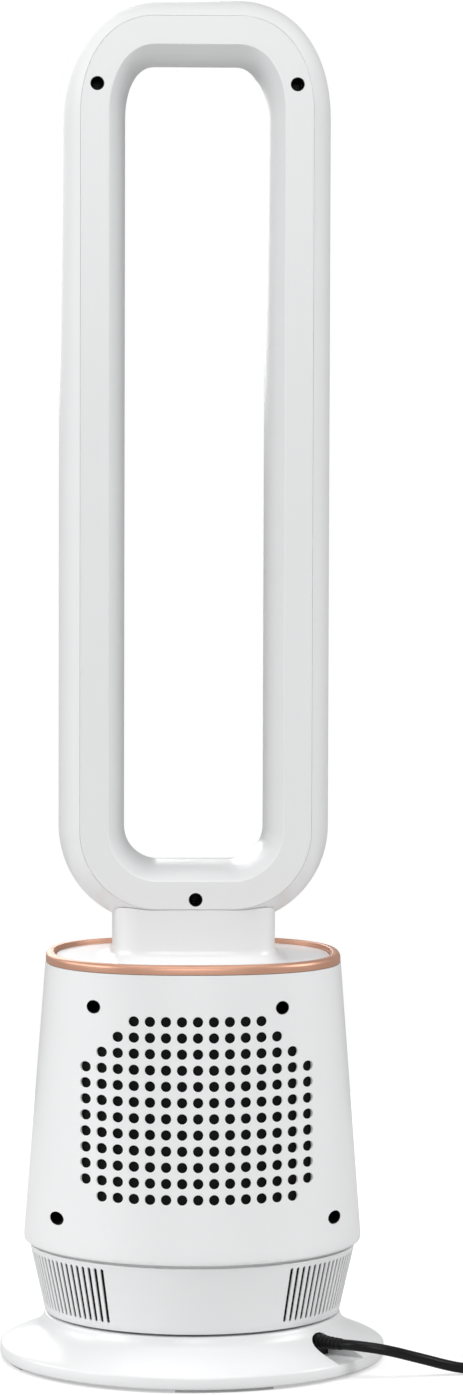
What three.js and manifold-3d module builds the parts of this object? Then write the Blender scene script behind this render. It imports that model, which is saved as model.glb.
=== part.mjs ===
// Bladeless tower fan: a tall open loop on an oval neck, a tapered body that holds the
// blower, and a round base on which the body swings from side to side.
// Millimetres, +Z up. The front faces -Y, the perforated rear faces +Y, and the origin is
// on the floor at the centre of the base.
import * as THREE from 'three';
import { mergeVertices } from 'three/addons/utils/BufferGeometryUtils.js';
import Module from 'manifold-3d';

const wasm = await Module();
wasm.setup();

// ---- Driving dimensions -------------------------------------------------------------

const GAP = 0.3; // running and seating clearance between pieces
const WALL = 2.6; // casing wall

// Base
const BASE_RADIUS = 125;
const BASE_RIM_LOW = 2;
const BASE_RIM_HIGH = 9;
const BASE_HEIGHT = 30;
const BASE_TOP_RADIUS = 96.5;
const BASE_HOLE_RADIUS = 62;
const FOOT_HEIGHT = 1.6;
const FOOT_WIDTH = 7.5;
const FOOT_HALF_ANGLE = 15;
const FOOT_COUNT = 4;
const PLATE_THICKNESS = 2.5;
const BALLAST_OUTER = 88;
const BALLAST_HEIGHT = 8;
const BASE_SCREW_RADIUS = BASE_RADIUS - 21; // distance of the base screws from the axis

// Cable tunnel and cord
const TUNNEL_ANGLE = 143; // about +Z from +X
const TUNNEL_RADIUS = 14.5;
const TUNNEL_CENTRE_Z = 11;
const TUNNEL_FLOOR_Z = 9.6;
const TUNNEL_BACK = 95; // distance of the tunnel's back wall from the axis
const CORD_DIAMETER = 6.8;
const CORD_EXIT_Z = 20;
const RELIEF_LENGTH = 22;
const RELIEF_RADIUS = 4.7;
const COIL_CENTRE = [-240, 17];
const COIL_RADIUS = 50.4; // of the outermost turn, at the cord's centre
const COIL_PITCH = 7.3; // between turns and between layers
const COIL_TURNS = 5.25;
const PLUG_SIZE = [26, 35, 14];
const PLUG_SLEEVE = 15;
const PIN_RADIUS = 2;
const PIN_LENGTH = 19;
const PIN_SPACING = 18.6;

// Swivel
const SWIVEL_GAP = 1.6; // seen between the base and the body
const THRUST_HEIGHT = 2;
const THRUST_INNER = 68;
const THRUST_OUTER = 78;
const TURNTABLE_THICKNESS = 3;
const TURNTABLE_RADIUS = 91; // inside the louvre ring's flange
const HUB_RADIUS = 16;
const HUB_TOP_RADIUS = 13;
const HUB_BORE = 8;
const HUB_FLANGE = 30;
const BUSH_WALL = 1.4;
const GEAR_MODULE = 1.25;
const SUN_TEETH = 48;
const SUN_TEETH_CUT = 15; // only the sector that the pinion can reach has teeth
const PINION_TEETH = 16;
const GEAR_THICKNESS = 6;
const GEAR_BACKLASH = 0.3;
const SWING_MOTOR_RADIUS = 21;
const SWING_MOTOR_HEIGHT = 16;
const POWER_BOARD_SIZE = [60, 24];
const POWER_BOARD_Y = 50;

// Louvre ring
const LOUVRE_LOW_RADIUS = 96;
const LOUVRE_HIGH_RADIUS = 105.8;
const LOUVRE_HIGH_Z = 75.3;
const LOUVRE_SPIGOT = 8;
const SLOT_WIDTH = 2;
const SLOT_LOW_Z = 36.2;
const SLOT_HIGH_Z = 72;
const SLOT_PITCH = 2.83; // degrees
const SLOT_FIRST = 35.2; // degrees from the rear
const SLOT_COUNT = 38; // on each side

// Body shells
const BODY_LOW_Z = 77.6;
const BODY_HIGH_Z = 259;
const DECK_Z = BODY_HIGH_Z + 3;
const BODY_LOW_RADIUS = 109.8;
const BODY_HIGH_HALF_WIDTH = 95.5;
const BODY_HIGH_HALF_DEPTH = 89.5;
const BODY_HIGH_SQUARENESS = 2.4; // exponent of the superellipse
const BODY_EDGE = 3; // rounding of the lower edge
const HOLE_PITCH = 10.1;
const HOLE_RADIUS = 3.1;
const HOLE_TOP_Z = BODY_HIGH_Z - 29.2;
const HOLE_ROWS = [9, 11, 13, 15, 15, 15, 15, 15, 15, 15, 15, 13];
const BODY_SCREWS = [
  [65.6, BODY_HIGH_Z - 21.5], [-53.9, BODY_HIGH_Z - 21.5],
  [88.6, BODY_LOW_Z + 22.9], [-88.6, BODY_LOW_Z + 22.9],
];
const WELL_RADIUS = 4.3;
const WELL_WALL = 1.6;
const WELL_END_Y = 8;
const FILTER_THICKNESS = 1.4;

// Trim ring, deck and neck
const TRIM_WIDTH = 6.2;
const TRIM_HEIGHT = 5.8;
const NECK_HALF_WIDTH = 52.4;
const NECK_HALF_DEPTH = 45;
const NECK_SQUARENESS = 4.5;
const NECK_FLARE = 9;

// Loop: the outline is a rounded rectangle, and each profile point is given by its distance
// from the middle line of the loop's gap (half width) and by its depth.
const THROAT_HALF_WIDTH = 45;
const LOOP_HALF_WIDTH = 87.2;
const LOOP_HALF_DEPTH = 45;
const FLAT_INNER = 56;
const FLAT_OUTER = 74;
const NOSE_DEPTH = 47;
const TOP_CENTRE = [26, DECK_Z + 538.6]; // centre of the upper corners
const TOP_RISE = 15.6; // how much higher than wide an upper corner is
const TOP_SQUARENESS = 2.2; // exponent of their superellipse
const LOW_CENTRE = [23.5, DECK_Z + 84.8]; // centre of the lower corners
const LOOP_WALL = 2.3;
const AIR_SLOT = 2.6;
const LOOP_SCREWS = [[63.5, DECK_Z + 559.4], [-63.5, DECK_Z + 559.4], [0, DECK_Z + 40.5]];
const LOOP_WELL_RADIUS = 4.45;
const LOOP_WELL_WALL = 1.15;
const LOOP_WELL_END_Y = 20;

// Blower
const CHASSIS_RADIUS = 72;
const CHASSIS_TOP_Z = 91;
const ISOLATOR_HEIGHT = 4;
const BLOWER_THROAT = 58;
const BUCKET_HEIGHT = 55;
const DIFFUSER_TOP_Z = DECK_Z - 6.1;
const DIFFUSER_TOP_RADIUS = 41;
const MOTOR_RADIUS = 32.6;
const MOTOR_HEIGHT = 34;
const SHAFT_RADIUS = 3;
const IMPELLER_LOW_Z = 108;
const IMPELLER_HEIGHT = 34;
const IMPELLER_BLADES = 7;
const BLADE_START = 11; // angle of the first blade
const BLADE_THICKNESS = 1.6;
const BLADE_PITCH = 35; // from upright
const TIP_GAP = 3; // between the blades and the throat
const VANE_COUNT = 6;

// Controls on the front
const WINDOW_SIZE = [52, 17];
const WINDOW_Z = BODY_HIGH_Z - 33;
const BUTTON_RADIUS = 7.7;
const BUTTON_Z = BODY_HIGH_Z - 59;
const BUTTON_TRAVEL = 1.2;
const BOARD_SIZE = [56, 58];

const SCREW_SHANK = 1.8;
const SCREW_BORE = 2.1;

// Fineness of the facets
const BODY_SIDES = 24;
const BASE_SIDES = 28;
const NECK_SIDES = 28;
const INNER_SIDES = 16;
const HUB_SIDES = 20;
const BLOWER_SIDES = 16;
const TUNNEL_SIDES = 12;
const BAR_SIDES = 8;
const SCREW_SIDES = 6;

// ---- Materials ----------------------------------------------------------------------

const material = (color, roughness, metalness = 0) =>
  new THREE.MeshStandardMaterial({ color, roughness, metalness });
const white = material(0xf1f1ef, 0.35);
const copper = material(0xd9a487, 0.25, 0.9);
const black = material(0x151515, 0.6);
const rubber = material(0x3a3a3c, 0.9);
const steel = material(0xb9bcc0, 0.35, 0.9);
const castIron = material(0x4a4b4e, 0.7, 0.6);
const nylon = material(0xe6e2d6, 0.5);
const boardGreen = material(0x2c6b46, 0.6);
const smoked = material(0x101114, 0.12);
const brass = material(0xc8a95b, 0.35, 0.9);
const greyPlastic = material(0x8d9093, 0.55);

// ---- Geometry helpers ---------------------------------------------------------------

const radians = THREE.MathUtils.degToRad;
const lerp = THREE.MathUtils.lerp;

// A closed mesh with merged corners, no collapsed triangles and its faces outwards.
function clean(geometry) {
  const copy = geometry.clone();
  for (const name of Object.keys(copy.attributes)) {
    if (name !== 'position') copy.deleteAttribute(name);
  }
  const merged = mergeVertices(copy, 1e-4);
  const corners = merged.index.array;
  const place = merged.attributes.position;
  const point = (i) => new THREE.Vector3().fromBufferAttribute(place, i);
  const kept = [];
  let volume = 0;
  for (let i = 0; i < corners.length; i += 3) {
    const [a, b, c] = [corners[i], corners[i + 1], corners[i + 2]];
    if (a === b || b === c || c === a) continue;
    kept.push(a, b, c);
    volume += point(a).dot(point(b).cross(point(c)));
  }
  if (volume < 0) kept.reverse();
  merged.setIndex(kept);
  return merged;
}

function solid(geometry) {
  const closed = clean(geometry);
  const mesh = new wasm.Mesh({
    numProp: 3,
    vertProperties: new Float32Array(closed.attributes.position.array),
    triVerts: new Uint32Array(closed.index.array),
  });
  return new wasm.Manifold(mesh);
}

function geometryOf(manifold) {
  const mesh = manifold.getMesh();
  const geometry = new THREE.BufferGeometry();
  geometry.setAttribute('position', new THREE.BufferAttribute(mesh.vertProperties, 3));
  geometry.setIndex(new THREE.BufferAttribute(mesh.triVerts, 1));
  return geometry;
}

const unite = (list) => wasm.Manifold.union(list);

// A body of revolution about +Z from a closed profile of [radius, height] points.
function turned(profile, segments = INNER_SIDES) {
  const points = profile.map(([r, z]) => new THREE.Vector2(r, z));
  if (profile[0][0] > 0 || profile.at(-1)[0] > 0) points.push(points[0].clone());
  return new THREE.LatheGeometry(points, segments).rotateX(Math.PI / 2);
}

const ring = (inner, outer, low, high, segments = INNER_SIDES) =>
  turned([[inner, low], [outer, low], [outer, high], [inner, high]], segments);

const disc = (radius, low, high, segments = INNER_SIDES) =>
  turned([[0, low], [radius, low], [radius, high], [0, high]], segments);

// A round bar along Y at x, z.
function barY(radius, x, z, from, to, segments = BAR_SIDES) {
  const bar = new THREE.CylinderGeometry(radius, radius, to - from, segments);
  return bar.translate(x, (from + to) / 2, z);
}

function block(low, high) {
  const size = high.map((v, i) => v - low[i]);
  return new THREE.BoxGeometry(...size).translate(...low.map((v, i) => v + size[i] / 2));
}

// A closed surface over rings of equally many points: end to end with caps, or round.
function skin(rings, round) {
  const count = rings[0].length;
  const place = rings.flat(2);
  const faces = [];
  const at = (i, j) => (i % rings.length) * count + (j % count);
  const spans = round ? rings.length : rings.length - 1;
  for (let i = 0; i < spans; i += 1) {
    for (let j = 0; j < count; j += 1) {
      faces.push(at(i, j), at(i, j + 1), at(i + 1, j + 1));
      faces.push(at(i, j), at(i + 1, j + 1), at(i + 1, j));
    }
  }
  if (!round) {
    for (let j = 1; j < count - 1; j += 1) {
      faces.push(at(0, 0), at(0, j + 1), at(0, j));
      faces.push(at(spans, 0), at(spans, j), at(spans, j + 1));
    }
  }
  const geometry = new THREE.BufferGeometry();
  geometry.setAttribute('position', new THREE.Float32BufferAttribute(place, 3));
  geometry.setIndex(faces);
  return geometry;
}

// Radius of a superellipse with half axes a and b at an angle.
function superRadius(angle, a, b, power) {
  const x = Math.abs(Math.cos(angle)) / a;
  const y = Math.abs(Math.sin(angle)) / b;
  return (x ** power + y ** power) ** (-1 / power);
}

function superRing(a, b, power, z, inset = 0, segments = NECK_SIDES) {
  const points = [];
  for (let i = 0; i < segments; i += 1) {
    const angle = (i / segments) * 2 * Math.PI;
    const r = superRadius(angle, a, b, power) - inset;
    points.push([r * Math.cos(angle), r * Math.sin(angle), z]);
  }
  return points;
}

// ---- Group and naming ---------------------------------------------------------------

const fan = new THREE.Group();
const addTo = (group) => (name, shape, finish) => {
  const geometry = clean(shape.isBufferGeometry ? shape : geometryOf(shape));
  geometry.computeVertexNormals();
  const mesh = new THREE.Mesh(geometry, finish);
  mesh.name = name;
  group.add(mesh);
  return mesh;
};
const add = addTo(fan);

// A group turned about +Z, for pieces that lie along a radius.
function radial(angle) {
  const group = new THREE.Group();
  group.rotation.z = radians(angle);
  fan.add(group);
  return addTo(group);
}

// ---- Base ---------------------------------------------------------------------------

const plateLow = FOOT_HEIGHT + GAP;
const plateHigh = plateLow + PLATE_THICKNESS;
const floorOfBase = plateHigh + GAP;
const footAngle = (i) => TUNNEL_ANGLE - 45 + (360 / FOOT_COUNT) * i;
const footOuter = BASE_RADIUS - 3.5;

// The flared outside of the base, from its top edge down to the rim.
function flare(inset, steps = 4) {
  const curve = new THREE.CubicBezierCurve(
    new THREE.Vector2(BASE_TOP_RADIUS - inset, BASE_HEIGHT - inset),
    new THREE.Vector2(BASE_TOP_RADIUS - inset, BASE_HEIGHT - 13 - inset),
    new THREE.Vector2(BASE_RADIUS - inset, BASE_RIM_HIGH + 4 - inset),
    new THREE.Vector2(BASE_RADIUS - inset, BASE_RIM_HIGH - inset / 2),
  );
  return curve.getPoints(steps).map((p) => [p.x, p.y]);
}

function makeBaseSkirt() {
  const outside = flare(0);
  const inside = flare(WALL, 3).reverse();
  const shell = solid(turned([
    [BASE_HOLE_RADIUS, BASE_HEIGHT],
    ...outside,
    [BASE_RADIUS, BASE_RIM_LOW + 1.5],
    [BASE_RADIUS - 1.5, BASE_RIM_LOW],
    [BASE_RADIUS - WALL, BASE_RIM_LOW],
    ...inside,
    [BASE_HOLE_RADIUS, BASE_HEIGHT - WALL],
  ], BASE_SIDES));
  const envelope = solid(turned([
    [0, floorOfBase],
    [BASE_RADIUS - 1, floorOfBase],
    ...flare(1).reverse(),
    [0, BASE_HEIGHT - 1],
  ], BASE_SIDES));
  const lying = (radius, low, from, to) => {
    const bar = solid(new THREE.CylinderGeometry(radius, radius, to - from, TUNNEL_SIDES)
      .rotateZ(-Math.PI / 2)
      .translate((from + to) / 2, 0, TUNNEL_CENTRE_Z));
    const above = solid(block([from - 1, -2 * radius, low], [to + 1, 2 * radius, 60]));
    return bar.intersect(above).rotate([0, 0, TUNNEL_ANGLE]);
  };
  const tube = lying(TUNNEL_RADIUS + 2, TUNNEL_FLOOR_Z - 2, TUNNEL_BACK - 2.5, BASE_RADIUS);
  const bore = lying(TUNNEL_RADIUS, TUNNEL_FLOOR_Z, TUNNEL_BACK, BASE_RADIUS + 10);
  const shank = solid(new THREE.CylinderGeometry(
    RELIEF_RADIUS + GAP, RELIEF_RADIUS + GAP, 12, BAR_SIDES)
    .rotateZ(-Math.PI / 2)
    .translate(TUNNEL_BACK, 0, CORD_EXIT_Z))
    .rotate([0, 0, TUNNEL_ANGLE]);
  const posts = [];
  const bores = [];
  for (let i = 0; i < FOOT_COUNT; i += 1) {
    const angle = radians(footAngle(i));
    const at = [BASE_SCREW_RADIUS * Math.cos(angle), BASE_SCREW_RADIUS * Math.sin(angle), 0];
    posts.push(solid(disc(4, floorOfBase, BASE_HEIGHT, SCREW_SIDES)).translate(at));
    bores.push(solid(disc(SCREW_BORE, 0, 13, 6)).translate(at));
  }
  return shell
    .add(tube.add(unite(posts)).intersect(envelope))
    .subtract(unite([bore, shank, ...bores]));
}

function makeBasePlate() {
  const sheet = solid(disc(BASE_RADIUS - WALL - GAP, plateLow, plateHigh, BASE_SIDES));
  const cuts = [];
  for (let i = 0; i < FOOT_COUNT; i += 1) {
    const angle = radians(footAngle(i));
    const at = [BASE_SCREW_RADIUS * Math.cos(angle), BASE_SCREW_RADIUS * Math.sin(angle), 0];
    cuts.push(solid(disc(SCREW_BORE, 0, 10, 6)).translate(at));
  }
  return sheet.subtract(unite(cuts));
}

function footShape() {
  const shape = new THREE.Shape();
  const half = radians(FOOT_HALF_ANGLE);
  shape.absarc(0, 0, footOuter, -half, half, false);
  shape.absarc(0, 0, footOuter - FOOT_WIDTH, half, -half, true);
  return new THREE.ExtrudeGeometry(shape, {
    depth: FOOT_HEIGHT,
    bevelEnabled: false,
    curveSegments: 4,
  });
}

add('base_skirt', makeBaseSkirt(), white);
add('base_plate', makeBasePlate(), black);
add('ballast_weight', ring(HUB_FLANGE + 4, BALLAST_OUTER, floorOfBase,
  floorOfBase + BALLAST_HEIGHT), castIron);
for (let i = 0; i < FOOT_COUNT; i += 1) {
  const addHere = radial(footAngle(i));
  addHere(`foot_${i + 1}`, footShape(), rubber);
  const head = plateLow - GAP;
  const screw = turned([
    [0, head - 1.4],
    [3.5, head - 1.4],
    [3.5, head],
    [SCREW_SHANK, head],
    [SCREW_SHANK, 12],
    [0, 12],
  ], SCREW_SIDES).translate(BASE_SCREW_RADIUS, 0, 0);
  addHere(`base_screw_${i + 1}`, screw, steel);
}

// ---- Swivel -------------------------------------------------------------------------

const bodyFloor = BASE_HEIGHT + SWIVEL_GAP;
const thrustLow = BASE_HEIGHT + GAP;
const ridgeLow = thrustLow + THRUST_HEIGHT + GAP;
const flangeHigh = bodyFloor + 2.8; // of the louvre ring's inner flange
const tableLow = flangeHigh + GAP;
const tableHigh = tableLow + TURNTABLE_THICKNESS;
const bushTop = tableHigh + GAP + 1;
const hubShoulder = bushTop + GAP;
const sunLow = hubShoulder + GAP;
const sunHigh = sunLow + GEAR_THICKNESS;
const sunPitch = (GEAR_MODULE * SUN_TEETH) / 2;
const pinionPitch = (GEAR_MODULE * PINION_TEETH) / 2;
const pinionDistance = sunPitch + pinionPitch + 0.2;
const pinionLow = sunLow + 0.5;
const pinionHigh = sunHigh - 0.5;
const swingMotorLow = pinionHigh + 3;
const swingEar = SWING_MOTOR_RADIUS + 5; // distance of the motor's ears from its middle
const boardPostHigh = tableHigh + 3;
const boardHalf = POWER_BOARD_SIZE[0] / 2;
const tableTopOfChassis = tableHigh + GAP;

// One flank of a tooth from the root circle out, as [radius, half angle] points.
function toothFlank(teeth) {
  const pitch = (GEAR_MODULE * teeth) / 2;
  const base = pitch * Math.cos(radians(20));
  const involute = (r) => {
    const t = Math.sqrt(Math.max((r / base) ** 2 - 1, 0));
    return t - Math.atan(t);
  };
  const halfAtPitch = (Math.PI * GEAR_MODULE / 2 - GEAR_BACKLASH) / 2 / pitch;
  const tip = pitch + 0.85 * GEAR_MODULE;
  const root = pitch - 1.15 * GEAR_MODULE;
  const radii = [root, tip];
  return radii.map((r) => {
    const swing = involute(Math.max(r, base));
    return [r, halfAtPitch + involute(pitch) - swing];
  });
}

// Outline of a gear with teeth on a sector about angle zero, and a plain rim elsewhere.
function gearShape(teeth, cut, bore, turn = 0) {
  const flank = toothFlank(teeth);
  const root = flank[0][0];
  const step = (2 * Math.PI) / teeth;
  const points = [];
  const put = (r, angle) =>
    points.push(new THREE.Vector2(r * Math.cos(angle + turn), r * Math.sin(angle + turn)));
  for (let i = 0; i < teeth; i += 1) {
    const middle = (i - (cut - 1) / 2) * step;
    if (i < cut) {
      flank.forEach(([r, half]) => put(r, middle - half));
      [...flank].reverse().forEach(([r, half]) => put(r, middle + half));
    } else if (i % 2 === 0) {
      put(root, middle);
    }
  }
  const shape = new THREE.Shape(points);
  const hole = new THREE.Path();
  if (bore > 0) {
    hole.absarc(0, 0, bore, 0, 2 * Math.PI, true);
    shape.holes.push(hole);
  }
  return shape;
}

function gear(teeth, cut, bore, low, high, turn = 0) {
  const options = { depth: high - low, bevelEnabled: false, curveSegments: 10 };
  return new THREE.ExtrudeGeometry(gearShape(teeth, cut, bore, turn), options)
    .translate(0, 0, low);
}

function makeTurntable() {
  const plate = solid(turned([
    [HUB_RADIUS + GAP + BUSH_WALL + GAP, tableLow],
    [THRUST_INNER + 1, tableLow],
    [THRUST_INNER + 1, ridgeLow],
    [THRUST_OUTER - 1, ridgeLow],
    [THRUST_OUTER - 1, tableLow],
    [TURNTABLE_RADIUS, tableLow],
    [TURNTABLE_RADIUS, tableHigh],
    [HUB_RADIUS + GAP + BUSH_WALL + GAP, tableHigh],
  ], HUB_SIDES));
  const post = (x, y, top) => solid(disc(4, tableLow + 1, top, SCREW_SIDES)).translate([x, y, 0]);
  return plate.add(unite([
    post(-swingEar, -pinionDistance, swingMotorLow - GAP),
    post(swingEar, -pinionDistance, swingMotorLow - GAP),
    post(6 - boardHalf, POWER_BOARD_Y, boardPostHigh),
    post(boardHalf - 6, POWER_BOARD_Y, boardPostHigh),
  ]));
}

function makeSwingMotor() {
  const can = solid(disc(SWING_MOTOR_RADIUS, swingMotorLow, swingMotorLow + SWING_MOTOR_HEIGHT));
  const ears = solid(block(
    [-swingEar - 4, -5, swingMotorLow],
    [swingEar + 4, 5, swingMotorLow + 1.5],
  ));
  const socket = solid(disc(SHAFT_RADIUS + GAP, swingMotorLow - 1, swingMotorLow + 6, BAR_SIDES));
  return can.add(ears).subtract(socket).translate([0, -pinionDistance, 0]);
}

function makePinion() {
  const wheel = solid(gear(PINION_TEETH, PINION_TEETH, 0, pinionLow, pinionHigh, Math.PI / 2));
  const stub = solid(disc(SHAFT_RADIUS, pinionLow + 1, swingMotorLow + 5, BAR_SIDES));
  return wheel.add(stub).translate([0, -pinionDistance, 0]);
}

add('thrust_ring', ring(THRUST_INNER, THRUST_OUTER, thrustLow, thrustLow + THRUST_HEIGHT), nylon);
add('pivot_hub', turned([
  [HUB_BORE, floorOfBase],
  [HUB_FLANGE, floorOfBase],
  [HUB_FLANGE, floorOfBase + 4],
  [HUB_RADIUS, floorOfBase + 4],
  [HUB_RADIUS, hubShoulder],
  [HUB_TOP_RADIUS, hubShoulder],
  [HUB_TOP_RADIUS, sunHigh + 6],
  [HUB_BORE, sunHigh + 6],
], HUB_SIDES), greyPlastic);
add('sun_gear', gear(SUN_TEETH, SUN_TEETH_CUT, HUB_TOP_RADIUS + GAP, sunLow, sunHigh,
  -Math.PI / 2), nylon);
const nutHeight = 5;
add('hub_nut', solid(disc(HUB_TOP_RADIUS + 5, sunHigh + GAP, sunHigh + GAP + nutHeight, 6))
  .subtract(solid(disc(HUB_TOP_RADIUS + GAP, sunHigh - 1, sunHigh + nutHeight + 2))), steel);
add('turntable', makeTurntable(), greyPlastic);
add('pivot_bush', turned([
  [HUB_RADIUS + GAP, tableLow],
  [HUB_RADIUS + GAP + BUSH_WALL, tableLow],
  [HUB_RADIUS + GAP + BUSH_WALL, tableHigh + GAP],
  [HUB_RADIUS + 5, tableHigh + GAP],
  [HUB_RADIUS + 5, bushTop],
  [HUB_RADIUS + GAP, bushTop],
], HUB_SIDES), nylon);
add('swing_motor', makeSwingMotor(), steel);
add('pinion', makePinion(), brass);
add('power_board', block(
  [-boardHalf, POWER_BOARD_Y - POWER_BOARD_SIZE[1] / 2, boardPostHigh + GAP],
  [boardHalf, POWER_BOARD_Y + POWER_BOARD_SIZE[1] / 2, boardPostHigh + GAP + 1.6],
), boardGreen);

// ---- Louvre ring --------------------------------------------------------------------

// Distance of a flat of the body from the axis, for the flat's direction and a height. It
// is straight in height, so that each flat is one plane.
function bodyFlat(angle, z) {
  const dual = BODY_HIGH_SQUARENESS / (BODY_HIGH_SQUARENESS - 1);
  const x = Math.abs(BODY_HIGH_HALF_WIDTH * Math.cos(angle));
  const y = Math.abs(BODY_HIGH_HALF_DEPTH * Math.sin(angle));
  const high = (x ** dual + y ** dual) ** (1 / dual);
  return lerp(BODY_LOW_RADIUS, high, (z - BODY_LOW_Z) / (DECK_Z - BODY_LOW_Z));
}

// Corners of the body's section at a height, drawn in by an inset.
function bodyRing(z, inset) {
  const points = [];
  const step = (2 * Math.PI) / BODY_SIDES;
  for (let i = 0; i < BODY_SIDES; i += 1) {
    const [a, b] = [i * step, (i + 1) * step];
    const [p, q] = [bodyFlat(a, z) - inset, bodyFlat(b, z) - inset];
    const x = (p * Math.sin(b) - q * Math.sin(a)) / Math.sin(step);
    const y = (q * Math.cos(a) - p * Math.cos(b)) / Math.sin(step);
    points.push([x, y, z]);
  }
  return points;
}

const spigotRadius = LOUVRE_HIGH_RADIUS - 1.8;

function makeLouvreRing() {
  const wall = 2.4;
  const cone = solid(turned([
    [TURNTABLE_RADIUS - 9, bodyFloor],
    [LOUVRE_LOW_RADIUS, bodyFloor],
    [LOUVRE_HIGH_RADIUS, LOUVRE_HIGH_Z],
    [spigotRadius, LOUVRE_HIGH_Z],
    [spigotRadius, BODY_LOW_Z + LOUVRE_SPIGOT],
    [spigotRadius - wall, BODY_LOW_Z + LOUVRE_SPIGOT],
    [LOUVRE_LOW_RADIUS - wall, flangeHigh],
    [TURNTABLE_RADIUS - 9, flangeHigh],
  ], BODY_SIDES));
  const slots = [];
  for (let i = 0; i < SLOT_COUNT; i += 1) {
    for (const side of [-1, 1]) {
      const angle = 90 + side * (SLOT_FIRST + SLOT_PITCH * i);
      slots.push(solid(block(
        [LOUVRE_LOW_RADIUS - 6, -SLOT_WIDTH / 2, SLOT_LOW_Z],
        [LOUVRE_HIGH_RADIUS + 3, SLOT_WIDTH / 2, SLOT_HIGH_Z],
      )).rotate([0, 0, angle]));
    }
  }
  return cone.subtract(unite(slots));
}

add('louvre_ring', makeLouvreRing(), white);

// ---- Body shells --------------------------------------------------------------------

// The body's outside, drawn in by an inset, as a solid.
function bodySolid(inset, low = BODY_LOW_Z, high = BODY_HIGH_Z, roundEdge = false) {
  const heights = [low, low + BODY_EDGE, high];
  return solid(skin(heights.map((z, i) =>
    bodyRing(z, inset + (roundEdge && i === 0 ? BODY_EDGE / 2 : 0))), false));
}

const slopeY = (BODY_LOW_RADIUS - BODY_HIGH_HALF_DEPTH) / (DECK_Z - BODY_LOW_Z);
const frontY = (z) => -bodyFlat(-Math.PI / 2, z);
const bodyOutside = bodySolid(0, BODY_LOW_Z, BODY_HIGH_Z, true);
const bodyInside = bodySolid(WALL, BODY_LOW_Z - 2, BODY_HIGH_Z + 2);
const bodyWall = bodyOutside.subtract(bodyInside);
const bodyCore = bodySolid(WALL / 2);

function half(side) {
  const far = 2 * BASE_RADIUS;
  const span = side > 0 ? [GAP / 2, far] : [-far, -GAP / 2];
  return solid(block([-far, span[0], 0], [far, span[1], far * 2]));
}

function makeRearShell() {
  const tubes = [];
  const cuts = [];
  for (const [x, z] of BODY_SCREWS) {
    tubes.push(solid(barY(WELL_RADIUS + WELL_WALL, x, z, WELL_END_Y, BASE_RADIUS)));
    cuts.push(solid(barY(WELL_RADIUS, x, z, WELL_END_Y + 2.2, BASE_RADIUS)));
    cuts.push(solid(barY(SCREW_BORE, x, z, 0, BASE_RADIUS, SCREW_SIDES)));
  }
  const hole = solid(new THREE.CylinderGeometry(HOLE_RADIUS, HOLE_RADIUS, BASE_RADIUS / 2, 4)
    .translate(0, BASE_RADIUS * 0.75, 0));
  HOLE_ROWS.forEach((count, row) => {
    for (let i = 0; i < count; i += 1) {
      const x = (i - (count - 1) / 2) * HOLE_PITCH;
      cuts.push(hole.translate([x, 0, HOLE_TOP_Z - row * HOLE_PITCH]));
    }
  });
  return bodyWall.intersect(half(1))
    .add(unite(tubes).intersect(bodyCore))
    .subtract(unite(cuts));
}

const buttonFaceY = frontY(BUTTON_Z) - 0.6;
const boardZ = (WINDOW_Z + BUTTON_Z) / 2;
const boardSagitta = BOARD_SIZE[0] ** 2 / 8 / BODY_HIGH_HALF_DEPTH;
const boardY = frontY(boardZ) + WALL + boardSagitta + 2.4;
const boardTilt = Math.atan(slopeY);
const boardFace = (z) => boardY + (z - boardZ) * slopeY;

// A block with round ends across the front, for the display window.
function windowPrism(extra) {
  const [wide, high] = WINDOW_SIZE;
  const r = high / 2 + extra;
  const reach = wide / 2 - high / 2;
  const bar = (x) => solid(barY(r, x, WINDOW_Z, frontY(BODY_LOW_Z) - 5, frontY(DECK_Z) + 30, 12));
  const middle = solid(block(
    [-reach, frontY(BODY_LOW_Z) - 5, WINDOW_Z - r],
    [reach, frontY(DECK_Z) + 30, WINDOW_Z + r],
  ));
  return unite([bar(-reach), bar(reach), middle]);
}

function makeFrontShell() {
  const posts = [];
  const cuts = [];
  for (const [x, z] of BODY_SCREWS) {
    posts.push(solid(barY(WELL_RADIUS, x, z, -BASE_RADIUS, WELL_END_Y - GAP)));
    cuts.push(solid(barY(SCREW_BORE, x, z, WELL_END_Y - 24, WELL_END_Y + 5, SCREW_SIDES)));
  }
  for (const side of [-1, 1]) {
    const z = BUTTON_Z - 8;
    const end = boardFace(z - 2.5) - GAP;
    posts.push(solid(barY(2.5, side * 22, z, -BASE_RADIUS, end, SCREW_SIDES)));
  }
  const pocket = windowPrism(GAP).subtract(bodySolid(1.5));
  const buttonHole = solid(barY(BUTTON_RADIUS + GAP, 0, BUTTON_Z, -BASE_RADIUS, -60, 16));
  return bodyWall.intersect(half(-1))
    .add(unite(posts).intersect(bodyCore))
    .subtract(unite([...cuts, pocket, buttonHole]));
}

function makeFilter() {
  const top = HOLE_TOP_Z + 4.2;
  const low = HOLE_TOP_Z - (HOLE_ROWS.length - 1) * HOLE_PITCH - 6;
  const wide = 7 * HOLE_PITCH + 6;
  const shape = new THREE.Shape([
    [-wide + 10, low], [wide - 10, low], [wide, low + 10], [wide, top - 28],
    [4.5 * HOLE_PITCH, top], [-4.5 * HOLE_PITCH, top], [-wide, top - 28], [-wide, low + 10],
  ].map(([x, y]) => new THREE.Vector2(x, y)));
  const prism = new THREE.ExtrudeGeometry(shape, { depth: BASE_RADIUS, bevelEnabled: false })
    .rotateX(Math.PI / 2)
    .translate(0, BASE_RADIUS + 20, 0);
  const outer = bodySolid(WALL + 0.4);
  const inner = bodySolid(WALL + 0.4 + FILTER_THICKNESS, BODY_LOW_Z - 2, BODY_HIGH_Z + 2);
  return outer.subtract(inner).intersect(solid(prism));
}

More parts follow.
